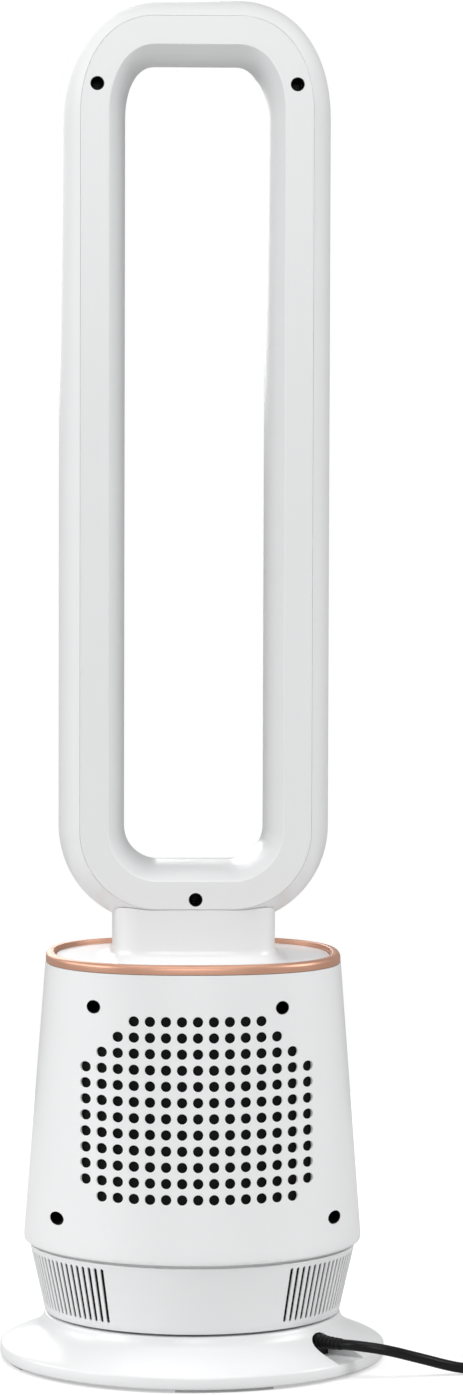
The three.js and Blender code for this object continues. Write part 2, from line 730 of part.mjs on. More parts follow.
add('rear_shell', makeRearShell(), white);
add('front_shell', makeFrontShell(), white);
add('dust_filter', makeFilter(), black);
BODY_SCREWS.forEach(([x, z], i) => {
  const seat = WELL_END_Y + 2.2 + GAP;
  const screw = turned([
    [0, seat - 19],
    [SCREW_SHANK, seat - 19],
    [SCREW_SHANK, seat],
    [3.6, seat],
    [3.6, seat + 2.6],
    [0, seat + 2.6],
  ], SCREW_SIDES).rotateX(-Math.PI / 2).translate(x, 0, z);
  add(`body_screw_${i + 1}`, screw, steel);
});

// ---- Controls -----------------------------------------------------------------------

function makeControlBoard() {
  const [wide, high] = BOARD_SIZE;
  const sheet = solid(block([-wide / 2, 0, -high / 2], [wide / 2, 1.6, high / 2]));
  const tilted = sheet.rotate([THREE.MathUtils.radToDeg(-boardTilt), 0, 0])
    .translate([0, boardY, boardZ]);
  const switchTop = buttonFaceY + 6 + BUTTON_TRAVEL + GAP;
  const body = solid(block([-3, switchTop, BUTTON_Z - 3], [3, boardY + 3.2, BUTTON_Z + 3]));
  return tilted.add(body);
}

function makeButton() {
  const flangeY = frontY(BUTTON_Z) + WALL + 1.4;
  return solid(barY(BUTTON_RADIUS, 0, BUTTON_Z, buttonFaceY, buttonFaceY + 6, 16))
    .add(solid(barY(BUTTON_RADIUS + 1.6, 0, BUTTON_Z, flangeY, buttonFaceY + 6, 16)));
}

add('display_window', windowPrism(0).intersect(
  bodyOutside.subtract(bodySolid(1.2, BODY_LOW_Z - 2, BODY_HIGH_Z + 2))), smoked);
add('control_board', makeControlBoard(), boardGreen);
add('power_button', makeButton(), copper);

// ---- Deck, neck and trim ring -------------------------------------------------------

const trimLow = BODY_HIGH_Z + GAP;
const deckEdge = TRIM_WIDTH + GAP; // inset of the deck's edge from the body's outside

// The body's section at the deck, drawn in by an inset and set at a height.
const deckPlan = (z, inset) => bodyRing(DECK_Z, inset).map(([x, y]) => [x, y, z]);

function makeTrimRing() {
  const profile = [
    [0, 0], [0, TRIM_HEIGHT - 2.6], [0.9, TRIM_HEIGHT - 0.9], [2.6, TRIM_HEIGHT],
    [TRIM_WIDTH - 1, TRIM_HEIGHT], [TRIM_WIDTH, 0],
  ];
  return skin(profile.map(([inset, up]) => deckPlan(trimLow + up, inset)), true);
}

const neckRing = (z, grow) => superRing(
  NECK_HALF_WIDTH + grow, NECK_HALF_DEPTH + grow, NECK_SQUARENESS, z);

// Outline of a section of the loop, [half width, depth], grown by a clearance.
function loopOutline(grow = 0) {
  const side = new THREE.QuadraticBezierCurve(
    new THREE.Vector2(FLAT_OUTER + grow, LOOP_HALF_DEPTH + grow),
    new THREE.Vector2(LOOP_HALF_WIDTH - 3.5 + grow, LOOP_HALF_DEPTH - 10),
    new THREE.Vector2(LOOP_HALF_WIDTH + grow, 3),
  ).getPoints(3).map((p) => [p.x, p.y]);
  return [
    ...side,
    [LOOP_HALF_WIDTH + grow, -9],
    [LOOP_HALF_WIDTH - 1.4 + grow, -26],
    [LOOP_HALF_WIDTH - 5 + grow, -39 - grow],
    [LOOP_HALF_WIDTH - 11.5 + grow, -NOSE_DEPTH + 1.6 - grow],
    [LOOP_HALF_WIDTH - 19, -NOSE_DEPTH - grow],
  ];
}

// A ring of points round the loop for one profile point.
function loopRing([halfWidth, depth], steps = 5) {
  const points = [];
  const corner = (centre, sx, sz) => {
    const r = halfWidth - centre[0];
    const rise = sz > 0 ? r + TOP_RISE : r;
    const from = Math.atan2(sz, 0) + (sx * sz > 0 ? -Math.PI / 2 : 0);
    for (let i = 0; i <= steps; i += 1) {
      const angle = from + (i / steps) * (Math.PI / 2);
      const reach = superRadius(angle, r, rise, sz > 0 ? TOP_SQUARENESS : 2);
      points.push([
        sx * centre[0] + reach * Math.cos(angle), depth, centre[1] + reach * Math.sin(angle),
      ]);
    }
  };
  corner(TOP_CENTRE, 1, 1);
  corner(TOP_CENTRE, -1, 1);
  corner(LOW_CENTRE, -1, -1);
  corner(LOW_CENTRE, 1, -1);
  return points;
}

const loopSkin = (profile) => solid(skin(profile.map((p) => loopRing(p)), true));

function loopEnvelope() {
  const outline = loopOutline(GAP);
  return loopSkin([
    ...outline,
    [THROAT_HALF_WIDTH - GAP, -NOSE_DEPTH - GAP],
    [THROAT_HALF_WIDTH - GAP, LOOP_HALF_DEPTH + GAP],
  ]);
}

function makeTopDeck() {
  const flangeLow = DECK_Z - 5.8;
  const flange = solid(skin([
    deckPlan(flangeLow, WALL + GAP), deckPlan(BODY_HIGH_Z, WALL + GAP),
  ], false));
  const sheet = solid(skin([deckPlan(BODY_HIGH_Z - 1, deckEdge), deckPlan(DECK_Z, deckEdge)],
    false));
  const heights = [[DECK_Z - 1, NECK_FLARE], [DECK_Z, NECK_FLARE], [DECK_Z + 0.8, 5.6],
    [DECK_Z + 3.4, 2], [DECK_Z + 8, 0], [LOW_CENTRE[1] - 36.8, 0]];
  const outside = solid(skin(heights.map(([z, grow]) => neckRing(z, grow)), false));
  const inside = solid(skin([neckRing(BODY_HIGH_Z, -WALL), neckRing(LOW_CENTRE[1] - 26.8, -WALL)], false));
  const inlet = solid(disc(DIFFUSER_TOP_RADIUS, flangeLow - 1, DECK_Z));
  return unite([flange, sheet, outside]).subtract(unite([inside, inlet, loopEnvelope()]));
}

add('trim_ring', makeTrimRing(), copper);
add('top_deck', makeTopDeck(), white);

// ---- Loop ---------------------------------------------------------------------------

const lipDepth = -3; // front end of the rear cover's lip
const ledge = LOOP_HALF_DEPTH - LOOP_WALL - GAP;

function makeRearCover() {
  const t = LOOP_WALL;
  const cover = loopSkin([
    [FLAT_OUTER, LOOP_HALF_DEPTH],
    [FLAT_INNER, LOOP_HALF_DEPTH],
    [FLAT_INNER - 6, LOOP_HALF_DEPTH - 14],
    [THROAT_HALF_WIDTH, 4],
    [THROAT_HALF_WIDTH, lipDepth],
    [THROAT_HALF_WIDTH + t, lipDepth],
    [FLAT_INNER - 6 + t, LOOP_HALF_DEPTH - 15],
    [FLAT_INNER + 1, LOOP_HALF_DEPTH - t],
    [FLAT_OUTER, LOOP_HALF_DEPTH - t],
  ]);
  const tubes = [];
  const cuts = [];
  for (const [x, z] of LOOP_SCREWS) {
    const outer = LOOP_WELL_RADIUS + LOOP_WELL_WALL;
    tubes.push(solid(barY(outer, x, z, LOOP_WELL_END_Y, LOOP_HALF_DEPTH - 1)));
    cuts.push(solid(barY(LOOP_WELL_RADIUS, x, z, LOOP_WELL_END_Y + 2.2, LOOP_HALF_DEPTH + 5)));
    cuts.push(solid(barY(SCREW_BORE, x, z, 0, LOOP_HALF_DEPTH, SCREW_SIDES)));
  }
  return cover.add(unite(tubes)).subtract(unite(cuts));
}

function makeFrontLoop() {
  const t = LOOP_WALL;
  const slotWall = THROAT_HALF_WIDTH + t + AIR_SLOT;
  const outline = loopOutline();
  const rim = [[FLAT_OUTER + GAP, LOOP_HALF_DEPTH - 0.4], ...outline.slice(1)];
  const shell = loopSkin([
    ...rim,
    [FLAT_INNER + 1, -NOSE_DEPTH + 5],
    [FLAT_INNER - 2.4, -30],
    [slotWall, 3],
    [slotWall + t, 3],
    [FLAT_INNER - 2.4 + t, -29],
    [FLAT_INNER + 4, -NOSE_DEPTH + 7],
    [FLAT_INNER + 12, -NOSE_DEPTH + t],
    [LOOP_HALF_WIDTH - 8.2, -37.5],
    [LOOP_HALF_WIDTH - t, -24],
    [LOOP_HALF_WIDTH - t, 2],
    [FLAT_OUTER + 2.6, ledge - t],
    [FLAT_OUTER - 1.4, ledge - t],
    [FLAT_OUTER - 1.4, ledge],
    [FLAT_OUTER + GAP, ledge],
  ]);
  const inletX = NECK_HALF_WIDTH - 6.4;
  const inletY = NECK_HALF_DEPTH - 7;
  const inlet = solid(block([-inletX, -inletY, DECK_Z + 8], [inletX, inletY, LOW_CENTRE[1] - 46.8]));
  const posts = [];
  const cuts = [];
  for (const [x, z] of LOOP_SCREWS) {
    posts.push(solid(barY(LOOP_WELL_RADIUS, x, z, -NOSE_DEPTH + 1.2, LOOP_WELL_END_Y - GAP,
      SCREW_SIDES)));
    cuts.push(solid(barY(SCREW_BORE, x, z, LOOP_WELL_END_Y - 22, LOOP_WELL_END_Y + 3, SCREW_SIDES)));
    cuts.push(solid(barY(LOOP_WELL_RADIUS + LOOP_WELL_WALL + GAP, x, z,
      LOOP_WELL_END_Y - GAP, LOOP_HALF_DEPTH + 3)));
  }
  return shell.subtract(inlet).add(unite(posts)).subtract(unite(cuts));
}

add('loop_rear_cover', makeRearCover(), white);
add('loop_front_shell', makeFrontLoop(), white);
LOOP_SCREWS.forEach(([x, z], i) => {
  const seat = LOOP_WELL_END_Y + 2.2 + GAP;
  const screw = turned([
    [0, seat - 17],
    [SCREW_SHANK, seat - 17],
    [SCREW_SHANK, seat],
    [3.6, seat],
    [3.6, seat + 2.6],
    [0, seat + 2.6],
  ], SCREW_SIDES).rotateX(-Math.PI / 2).translate(x, 0, z);
  add(`loop_screw_${i + 1}`, screw, steel);
});

// ---- Blower -------------------------------------------------------------------------

const isolatorLow = CHASSIS_TOP_Z + GAP;
const bucketLow = isolatorLow + ISOLATOR_HEIGHT + GAP;
const bucketHigh = bucketLow + BUCKET_HEIGHT;
const motorLow = bucketHigh - 2;
const motorHigh = motorLow + MOTOR_HEIGHT;
const bearingHeight = 4;
const bearingRadius = 9.5;

function makeChassis() {
  const half = 6;
  const hoop = solid(ring(CHASSIS_RADIUS - half, CHASSIS_RADIUS + half,
    CHASSIS_TOP_Z - 3, CHASSIS_TOP_Z));
  const leg = solid(block(
    [CHASSIS_RADIUS - 4, -7, tableTopOfChassis],
    [CHASSIS_RADIUS + 4, 7, CHASSIS_TOP_Z - 1],
  ));
  return unite([hoop, ...[90, 210, 330].map((angle) => leg.rotate([0, 0, angle]))]);
}

function makeBucket() {
  const r = BLOWER_THROAT;
  return turned([
    [r + 14, bucketLow], [r + 3, bucketLow + 5], [r, bucketLow + 12], [r + 4, bucketHigh],
    [r + 6.2, bucketHigh], [r + 2.3, bucketLow + 13], [r + 5, bucketLow + 7],
    [r + 14, bucketLow + 2.4], [r + 21, bucketLow + 2.4], [r + 21, bucketLow],
  ], BLOWER_SIDES);
}

// The duct's inside, from the blower up to the neck, moved outwards by a distance.
function ductPath(out) {
  const low = bucketHigh + GAP;
  const r = BLOWER_THROAT + 4;
  const waist = lerp(r, DIFFUSER_TOP_RADIUS, 0.55);
  return [
    [r + out, low], [waist + out, low + 50],
    [DIFFUSER_TOP_RADIUS + out, low + 73], [DIFFUSER_TOP_RADIUS + out, DIFFUSER_TOP_Z],
  ];
}

const makeDiffuser = () => turned([...ductPath(0), ...ductPath(2.2).reverse()], BLOWER_SIDES);

function makeGuideVanes() {
  const inner = MOTOR_RADIUS + 0.4;
  const hub = solid(turned([
    [inner, motorLow], [inner + 2, motorLow], [inner + 2, motorHigh + 1], [24, motorHigh + 7],
    [0, motorHigh + 9], [0, motorHigh + 6], [22, motorHigh + 4.5], [inner, motorHigh + 0.4],
  ]));
  const reach = BLOWER_THROAT + 8;
  const vane = solid(new THREE.BoxGeometry(reach - inner - 1, 1.8, 20)
    .rotateX(radians(18))
    .translate((reach + inner + 1) / 2, 0, bucketHigh + 13));
  const vanes = [];
  for (let i = 0; i < VANE_COUNT; i += 1) {
    vanes.push(vane.rotate([0, 0, (360 / VANE_COUNT) * i]));
  }
  const duct = solid(turned([
    [0, bucketHigh + GAP], ...ductPath(-GAP), [0, DIFFUSER_TOP_Z],
  ], BLOWER_SIDES));
  return unite(vanes).intersect(duct).add(hub);
}

const coreLow = motorLow + 3 + bearingHeight + GAP;
const coreHigh = motorHigh - 2 - bearingHeight - 2 * GAP;

function makeMotorCan() {
  return turned([
    [MOTOR_RADIUS - 1.6, motorLow + 3], [MOTOR_RADIUS, motorLow + 3], [MOTOR_RADIUS, motorHigh],
    [SHAFT_RADIUS + 1, motorHigh], [SHAFT_RADIUS + 1, motorHigh - 2],
    [MOTOR_RADIUS - 1.6, motorHigh - 2],
  ]);
}

const bearing = (low) => ring(SHAFT_RADIUS + GAP, bearingRadius, low, low + bearingHeight, 12);

// Flat pitched blades on a cone.
function makeImpeller() {
  const low = IMPELLER_LOW_Z;
  const high = low + IMPELLER_HEIGHT;
  const hub = solid(turned([
    [0, low], [11, low], [MOTOR_RADIUS - 4, high], [0, high],
  ], 2 * IMPELLER_BLADES));
  const root = 9; // inside the hub at every height of a blade
  const reach = BLOWER_THROAT - TIP_GAP;
  const blade = solid(new THREE.BoxGeometry(reach - root, BLADE_THICKNESS, IMPELLER_HEIGHT - 4)
    .rotateX(radians(BLADE_PITCH))
    .translate((reach + root) / 2, 0, low + IMPELLER_HEIGHT / 2));
  const blades = [];
  for (let i = 0; i < IMPELLER_BLADES; i += 1) {
    blades.push(blade.rotate([0, 0, BLADE_START + (360 / IMPELLER_BLADES) * i]));
  }
  const bore = solid(disc(SHAFT_RADIUS + GAP, low - 1, high + 1, BAR_SIDES));
  return unite([hub, ...blades]).subtract(bore);
}

add('chassis', makeChassis(), greyPlastic);
add('isolator_ring', ring(CHASSIS_RADIUS - 4, CHASSIS_RADIUS + 5, isolatorLow,
  isolatorLow + ISOLATOR_HEIGHT), rubber);
add('motor_bucket', makeBucket(), greyPlastic);
add('diffuser_duct', makeDiffuser(), greyPlastic);
add('guide_vanes', makeGuideVanes(), greyPlastic);
add('motor_can', makeMotorCan(), steel);
add('motor_end_plate', ring(SHAFT_RADIUS + 1, MOTOR_RADIUS, motorLow, motorLow + 3 - GAP), steel);
add('motor_core', ring(19, MOTOR_RADIUS - 1.6 - GAP, coreLow, coreHigh), castIron);
add('bearing_lower', bearing(motorLow + 3), steel);
add('bearing_upper', bearing(motorHigh - 2 - GAP - bearingHeight), steel);
add('motor_rotor', ring(SHAFT_RADIUS + GAP, 18.4, coreLow, coreHigh), castIron);
add('motor_shaft', disc(SHAFT_RADIUS, IMPELLER_LOW_Z - 6, motorHigh - 0.6, BAR_SIDES), steel);
add('impeller', makeImpeller(), nylon);
add('impeller_nut', solid(disc(6, IMPELLER_LOW_Z - 5, IMPELLER_LOW_Z - GAP, 6))
  .subtract(solid(disc(SHAFT_RADIUS + GAP, IMPELLER_LOW_Z - 9, IMPELLER_LOW_Z + 3, BAR_SIDES))), brass);

// ---- Cord ---------------------------------------------------------------------------

const along = radians(TUNNEL_ANGLE);
const reliefStart = TUNNEL_BACK + GAP;
const reliefEnd = reliefStart + RELIEF_LENGTH;

// A plate that closes the tunnel, a shank through its back wall and the tapered relief.
function makeGland() {
  const r = TUNNEL_RADIUS - GAP;
  const round = solid(new THREE.CylinderGeometry(r, r, 2, TUNNEL_SIDES)
    .rotateZ(-Math.PI / 2)
    .translate(reliefStart + 1, 0, TUNNEL_CENTRE_Z));
  const above = solid(block([80, -20, TUNNEL_FLOOR_Z + GAP], [110, 20, 40]));
  const shank = solid(turned([
    [0, reliefStart - 8],
    [7, reliefStart - 8],
    [7, reliefStart - 3.4],
    [RELIEF_RADIUS, reliefStart - 3.4],
    [RELIEF_RADIUS, reliefStart + 3],
    [CORD_DIAMETER / 2 + 0.4, reliefEnd],
    [0, reliefEnd],
  ], BAR_SIDES).rotateY(Math.PI / 2).translate(0, 0, CORD_EXIT_Z));
  return round.intersect(above).add(shank);
}

// The cord's route along its centre, chosen by eye.
const LEAD_POINTS = [
  [-100, 75.4, 20.3], [-107.5, 78.3, 19.9], [-116, 79.8, 18.9], [-126, 79.6, 16.8],
  [-136.5, 78, 13.9], [-147.5, 75.3, 10.6], [-158.5, 72.4, 7.2], [-169.5, 70, 4.5],
  [-181, 68.5, 3.5], [-195, 67.7, 3.4], [-210, 67.4, 3.4], [-225, 67.4, 3.4],
];
const TAIL_POINTS = [
  [-290.4, 9, 10.6], [-290.4, 1, 10.1], [-290.4, -7, 9.2], [-290.4, -15, 8.2],
  [-290.4, -23, 7.4],
];

const cordRadius = CORD_DIAMETER / 2;

// A tube of the cord's size along a smooth curve through points.
function cordTube(points, steps, sides = 8) {
  const curve = new THREE.CatmullRomCurve3(points.map((p) => new THREE.Vector3(...p)));
  const section = new THREE.Shape();
  for (let i = 0; i < sides; i += 1) {
    const angle = (i / sides) * 2 * Math.PI;
    const [x, y] = [cordRadius * Math.cos(angle), cordRadius * Math.sin(angle)];
    if (i === 0) section.moveTo(x, y);
    else section.lineTo(x, y);
  }
  return new THREE.ExtrudeGeometry(section, { steps, extrudePath: curve, bevelEnabled: false });
}

// Centre of the coiled cord after a number of turns: in along the floor, up, and out again.
const coilHalf = COIL_TURNS / 2;
const climb = 0.25; // turns before and after the reversal in which the cord rises

function coilPoint(turn) {
  const inward = turn < coilHalf ? turn : COIL_TURNS - turn;
  const r = COIL_RADIUS - COIL_PITCH * inward;
  const rise = THREE.MathUtils.smoothstep(turn, coilHalf - climb, coilHalf + climb);
  const angle = Math.PI / 2 + turn * 2 * Math.PI;
  return [
    COIL_CENTRE[0] + r * Math.cos(angle),
    COIL_CENTRE[1] + r * Math.sin(angle),
    cordRadius + COIL_PITCH * rise,
  ];
}

function makeCoil() {
  const sides = 6;
  const perTurn = 24;
  const count = Math.round(COIL_TURNS * perTurn);
  const rings = [];
  for (let i = 0; i <= count; i += 1) {
    const turn = (i / count) * COIL_TURNS;
    const middle = new THREE.Vector3(...coilPoint(turn));
    const ahead = new THREE.Vector3(...coilPoint(Math.min(turn + 0.01, COIL_TURNS)));
    const behind = new THREE.Vector3(...coilPoint(Math.max(turn - 0.01, 0)));
    const direction = ahead.sub(behind).normalize();
    if (i === 0 || i === count) direction.setZ(0).normalize();
    const across = new THREE.Vector3(0, 0, 1).cross(direction).normalize();
    const up = direction.clone().cross(across);
    const loop = [];
    for (let j = 0; j < sides; j += 1) {
      const angle = ((j + 0.5) / sides) * 2 * Math.PI;
      const out = middle.clone()
        .addScaledVector(across, cordRadius * Math.cos(angle))
        .addScaledVector(up, cordRadius * Math.sin(angle));
      loop.push([out.x, out.y, out.z]);
    }
    rings.push(loop);
  }
  return skin(rings, false);
}

// Least gap of the coil to itself, from its centre line.
function leastCoilGap() {
  const points = [];
  for (let i = 0; i <= COIL_TURNS * 72; i += 1) {
    points.push(new THREE.Vector3(...coilPoint(i / 72)));
  }
  let least = Infinity;
  for (let i = 0; i < points.length; i += 1) {
    for (let j = i + 36; j < points.length; j += 1) {
      least = Math.min(least, points[i].distanceTo(points[j]));
    }
  }
  return least - CORD_DIAMETER;
}
console.log(`coil: least gap to itself ${leastCoilGap().toFixed(2)} mm`);

const reliefMouth = [(reliefEnd + GAP) * Math.cos(along), (reliefEnd + GAP) * Math.sin(along),
  CORD_EXIT_Z];
const coilStart = coilPoint(0);
const coilEnd = coilPoint(COIL_TURNS);
const plugMouth = [-290.4, -32, PLUG_SIZE[2] / 2];

function makePlug() {
  const [wide, long, high] = PLUG_SIZE;
  const shape = new THREE.Shape([
    [-wide / 2, 0], [-5, -PLUG_SLEEVE * 0.8], [5, -PLUG_SLEEVE * 0.8], [wide / 2, 0],
    [wide / 2, long], [-wide / 2, long],
  ].map(([x, y]) => new THREE.Vector2(x, y)));
  const body = solid(new THREE.ExtrudeGeometry(shape, { depth: high, bevelEnabled: false })
    .translate(0, 0, -high / 2));
  const sleeve = solid(turned([
    [0, -PLUG_SLEEVE * 1.6], [cordRadius + 0.5, -PLUG_SLEEVE * 1.6], [5.4, 2], [0, 2],
  ], 12).rotateX(-Math.PI / 2));
  const sockets = [-1, 1].map((side) => solid(
    barY(PIN_RADIUS + GAP, side * PIN_SPACING / 2, 0, long - 6, long + 5, 10)));
  const [x, y, z] = plugMouth;
  return body.add(sleeve)
    .subtract(unite(sockets))
    .rotate([0, 0, 180])
    .translate([x, y - PLUG_SLEEVE * 1.6, z]);
}

const glandHere = radial(TUNNEL_ANGLE);
glandHere('cord_gland', makeGland(), black);
add('cord_lead', cordTube([
  reliefMouth, ...LEAD_POINTS, [coilStart[0] + GAP, coilStart[1], coilStart[2]],
], 14), black);
add('cord_coil', makeCoil(), black);
add('cord_tail', cordTube([
  [coilEnd[0], coilEnd[1] - GAP, coilEnd[2]], ...TAIL_POINTS,
  [plugMouth[0], plugMouth[1] + GAP, plugMouth[2]],
], 6), black);
add('plug_body', makePlug(), black);
for (const side of [-1, 1]) {
  const [x, y, z] = plugMouth;
  const face = y - PLUG_SLEEVE * 1.6 - PLUG_SIZE[1];
  add(side < 0 ? 'plug_pin_1' : 'plug_pin_2',
    barY(PIN_RADIUS, x + side * PIN_SPACING / 2, z, face - PIN_LENGTH, face + 5.6, 10), brass);
}

export default fan;
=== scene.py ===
import math

import bmesh
import bpy
from mathutils import Matrix, Vector


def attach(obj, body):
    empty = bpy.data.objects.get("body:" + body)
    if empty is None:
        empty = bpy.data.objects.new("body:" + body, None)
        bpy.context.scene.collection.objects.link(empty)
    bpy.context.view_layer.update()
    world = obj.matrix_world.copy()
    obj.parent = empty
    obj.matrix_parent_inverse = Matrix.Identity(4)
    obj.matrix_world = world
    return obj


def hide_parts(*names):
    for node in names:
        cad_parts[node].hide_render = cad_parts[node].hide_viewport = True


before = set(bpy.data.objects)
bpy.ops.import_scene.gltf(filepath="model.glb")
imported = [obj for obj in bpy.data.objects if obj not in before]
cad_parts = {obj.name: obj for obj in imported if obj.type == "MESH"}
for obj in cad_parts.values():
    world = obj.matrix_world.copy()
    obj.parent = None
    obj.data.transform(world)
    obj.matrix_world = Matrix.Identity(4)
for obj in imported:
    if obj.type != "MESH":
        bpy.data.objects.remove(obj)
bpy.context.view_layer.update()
scene = bpy.context.scene
turn = 2 * math.pi

# The camera looks at the fan's rear from +Y, from a little above its middle.
view = {
    "place": (0.1047, 2.9982, 0.600),  # metres
    "yaw": math.atan(24.5 / 3000),
    "pitch": math.radians(3.25),
    "roll": math.radians(0.17),
    "fanTurn": math.radians(2),  # how far the fan is turned towards the right
    "lens": 119.74,
    "sensor": 36,
    "farthest": 50,
}


def placeCamera():
    yaw, pitch, roll = view["yaw"], view["pitch"], view["roll"]
    forward = Vector((math.sin(yaw) * math.cos(pitch), -math.cos(yaw) * math.cos(pitch), -math.sin(pitch)))
    right = Vector((math.cos(yaw), math.sin(yaw), 0))
    up = forward.cross(right)
    side = right * math.cos(roll) + up * math.sin(roll)
    top = up * math.cos(roll) - right * math.sin(roll)
    # Up to here +X is on the right of the picture; the fan's own +X is on the left.
    c, s = math.cos(view["fanTurn"]), math.sin(view["fanTurn"])
    axes = [Vector((v.y * s - v.x * c, v.x * s + v.y * c, v.z)) for v in (side, top, -forward)]
    matrix = Matrix(axes).transposed().to_4x4()
    matrix.translation = view["place"]
    data = bpy.data.cameras.new("camera")
    data.sensor_fit = "VERTICAL"
    data.sensor_height = view["sensor"]
    data.lens = view["lens"]
    data.clip_end = view["farthest"]
    camera = bpy.data.objects.new("camera", data)
    camera.matrix_world = matrix
    scene.collection.objects.link(camera)
    scene.camera = camera


placeCamera()
print("camera placed")


def newMaterial(name, colour, roughness, **look):
    material = bpy.data.materials.new(name)
    material.use_nodes = True
    nodes, links = material.node_tree.nodes, material.node_tree.links
    shader = nodes["Principled BSDF"]
    for socket in ("Metallic", "Specular IOR Level", "Coat Weight", "Coat Roughness", "IOR",
                   "Subsurface Weight"):
        if socket in look:
            shader.inputs[socket].default_value = look[socket]
    place = nodes.new("ShaderNodeTexCoord")
    stretch = nodes.new("ShaderNodeMapping")
    stretch.inputs["Scale"].default_value = look.get("stretch", (1, 1, 1))
    links.new(place.outputs["Object"], stretch.inputs["Vector"])

    def noise(scale, detail):
        node = nodes.new("ShaderNodeTexNoise")
        node.inputs["Scale"].default_value = scale
        node.inputs["Detail"].default_value = detail
        links.new(stretch.outputs["Vector"], node.inputs["Vector"])
        return node.outputs["Fac"]

    cloud = noise(look.get("cloudScale", 9), 3)
    tint = nodes.new("ShaderNodeValToRGB")  # slow change of colour over the piece
    spread = look.get("spread", 0.03)
    tint.color_ramp.elements[0].position = 0.3
    tint.color_ramp.elements[1].position = 0.7
    tint.color_ramp.elements[0].color = (*[c * (1 - spread) for c in colour], 1)
    tint.color_ramp.elements[1].color = (*[min(1, c * (1 + spread)) for c in colour], 1)
    links.new(cloud, tint.inputs["Fac"])
    links.new(tint.outputs["Color"], shader.inputs["Base Color"])

    wear = nodes.new("ShaderNodeMapRange")
    wear.inputs["To Min"].default_value = roughness * (1 - look.get("wear", 0.12))
    wear.inputs["To Max"].default_value = min(1, roughness * (1 + look.get("wear", 0.12)))
    links.new(noise(55, 4), wear.inputs["Value"])  # the gloss is a little uneven
    links.new(wear.outputs["Result"], shader.inputs["Roughness"])

    height = noise(look.get("grain", 500), look.get("grainDetail", 2))
    weave = look.get("weave")
    if weave:  # crossed threads
        waves = []
        for axis in ("X", "Z"):
            wave = nodes.new("ShaderNodeTexWave")
            wave.bands_direction = axis
            wave.inputs["Scale"].default_value = weave
            links.new(stretch.outputs["Vector"], wave.inputs["Vector"])
            waves.append(wave.outputs["Fac"])
        cross = nodes.new("ShaderNodeMath")
        cross.operation = "MULTIPLY"
        links.new(waves[0], cross.inputs[0])
        links.new(waves[1], cross.inputs[1])
        height = cross.outputs["Value"]
    bump = nodes.new("ShaderNodeBump")
    bump.inputs["Strength"].default_value = look.get("bump", 0.1)
    bump.inputs["Distance"].default_value = look.get("depth", 0.0002)
    links.new(height, bump.inputs["Height"])
    links.new(bump.outputs["Normal"], shader.inputs["Normal"])
    return material


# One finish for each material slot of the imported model.
finishes = {
    "white_gloss": newMaterial("whiteGloss", (0.84, 0.845, 0.85), 0.3, spread=0.012, cloudScale=5,
                               grain=420, bump=0.05, depth=0.00015, IOR=1.48,
                               **{"Coat Weight": 0.12, "Coat Roughness": 0.15}),
    "copper_trim": newMaterial("copperTrim", (0.66, 0.36, 0.25), 0.4, spread=0.05, cloudScale=16,
                               grain=900, bump=0.06, depth=0.0001, Metallic=0.6),
    "black_plastic": newMaterial("blackPlastic", (0.009, 0.009, 0.0095), 0.45, spread=0.2, grain=1600,
                                 bump=0.2, depth=0.0002, **{"Specular IOR Level": 0.25}),
    "black_cord": newMaterial("blackCord", (0.006, 0.006, 0.0065), 0.3, spread=0.25, grain=1100,
                              bump=0.12, depth=0.0002, wear=0.2, **{"Specular IOR Level": 0.22}),
    # The black filter finish also colours the dark sheet behind the louvre slots, which is painted shade.
    "black_filter": newMaterial("blackFilterAndShadeSheet", (0.012, 0.012, 0.012), 0.85, spread=0.3, weave=420,
                                bump=0.6, depth=0.0005, **{"Specular IOR Level": 0.15}),
    "rubber_grey": newMaterial("rubberGrey", (0.62, 0.62, 0.63), 0.75, spread=0.08, grain=1400,
                               bump=0.3, depth=0.0003),
    "steel": newMaterial("zincSteel", (0.62, 0.63, 0.65), 0.34, spread=0.08, grain=700, bump=0.08,
                         stretch=(1, 1, 6), Metallic=1.0),
    "iron": newMaterial("castIron", (0.09, 0.09, 0.1), 0.62, spread=0.2, grain=800, grainDetail=6,
                        bump=0.5, depth=0.0005, Metallic=0.7),
    "nylon": newMaterial("naturalNylon", (0.78, 0.75, 0.66), 0.42, spread=0.03, grain=700, bump=0.08,
                         **{"Subsurface Weight": 0.05}),
    "grey_plastic": newMaterial("greyPlastic", (0.21, 0.215, 0.225), 0.5, spread=0.06, grain=1300,
                                bump=0.2, depth=0.0002),
    "smoked_window": newMaterial("smokedWindow", (0.012, 0.013, 0.016), 0.08, spread=0.2, grain=200,
                                 bump=0.02, **{"Coat Weight": 0.8, "Coat Roughness": 0.04}),
    "board_green": newMaterial("boardGreen", (0.015, 0.11, 0.05), 0.4, spread=0.25, cloudScale=140,
                               grain=900, bump=0.2),
    "brass": newMaterial("turnedBrass", (0.7, 0.5, 0.2), 0.28, spread=0.08, grain=1200,
                         stretch=(1, 5, 1), bump=0.08, Metallic=1.0),
}
print("materials made:", len(finishes))


# All the shapes below are made in millimetres, and finishPiece turns them into metres.
def spun(profile, steps=96, closed=True):
    bm = bmesh.new()
    verts = [bm.verts.new((r, 0, z)) for r, z in profile]
    edges = [bm.edges.new(pair) for pair in zip(verts, verts[1:])]
    if closed:
        edges.append(bm.edges.new((verts[-1], verts[0])))
    bmesh.ops.spin(bm, geom=verts + edges, cent=(0, 0, 0), axis=(0, 0, 1), angle=turn,
                   steps=steps, use_merge=True)
    bmesh.ops.remove_doubles(bm, verts=bm.verts[:], dist=0.0005)
    bmesh.ops.recalc_face_normals(bm, faces=bm.faces[:])
    return bm


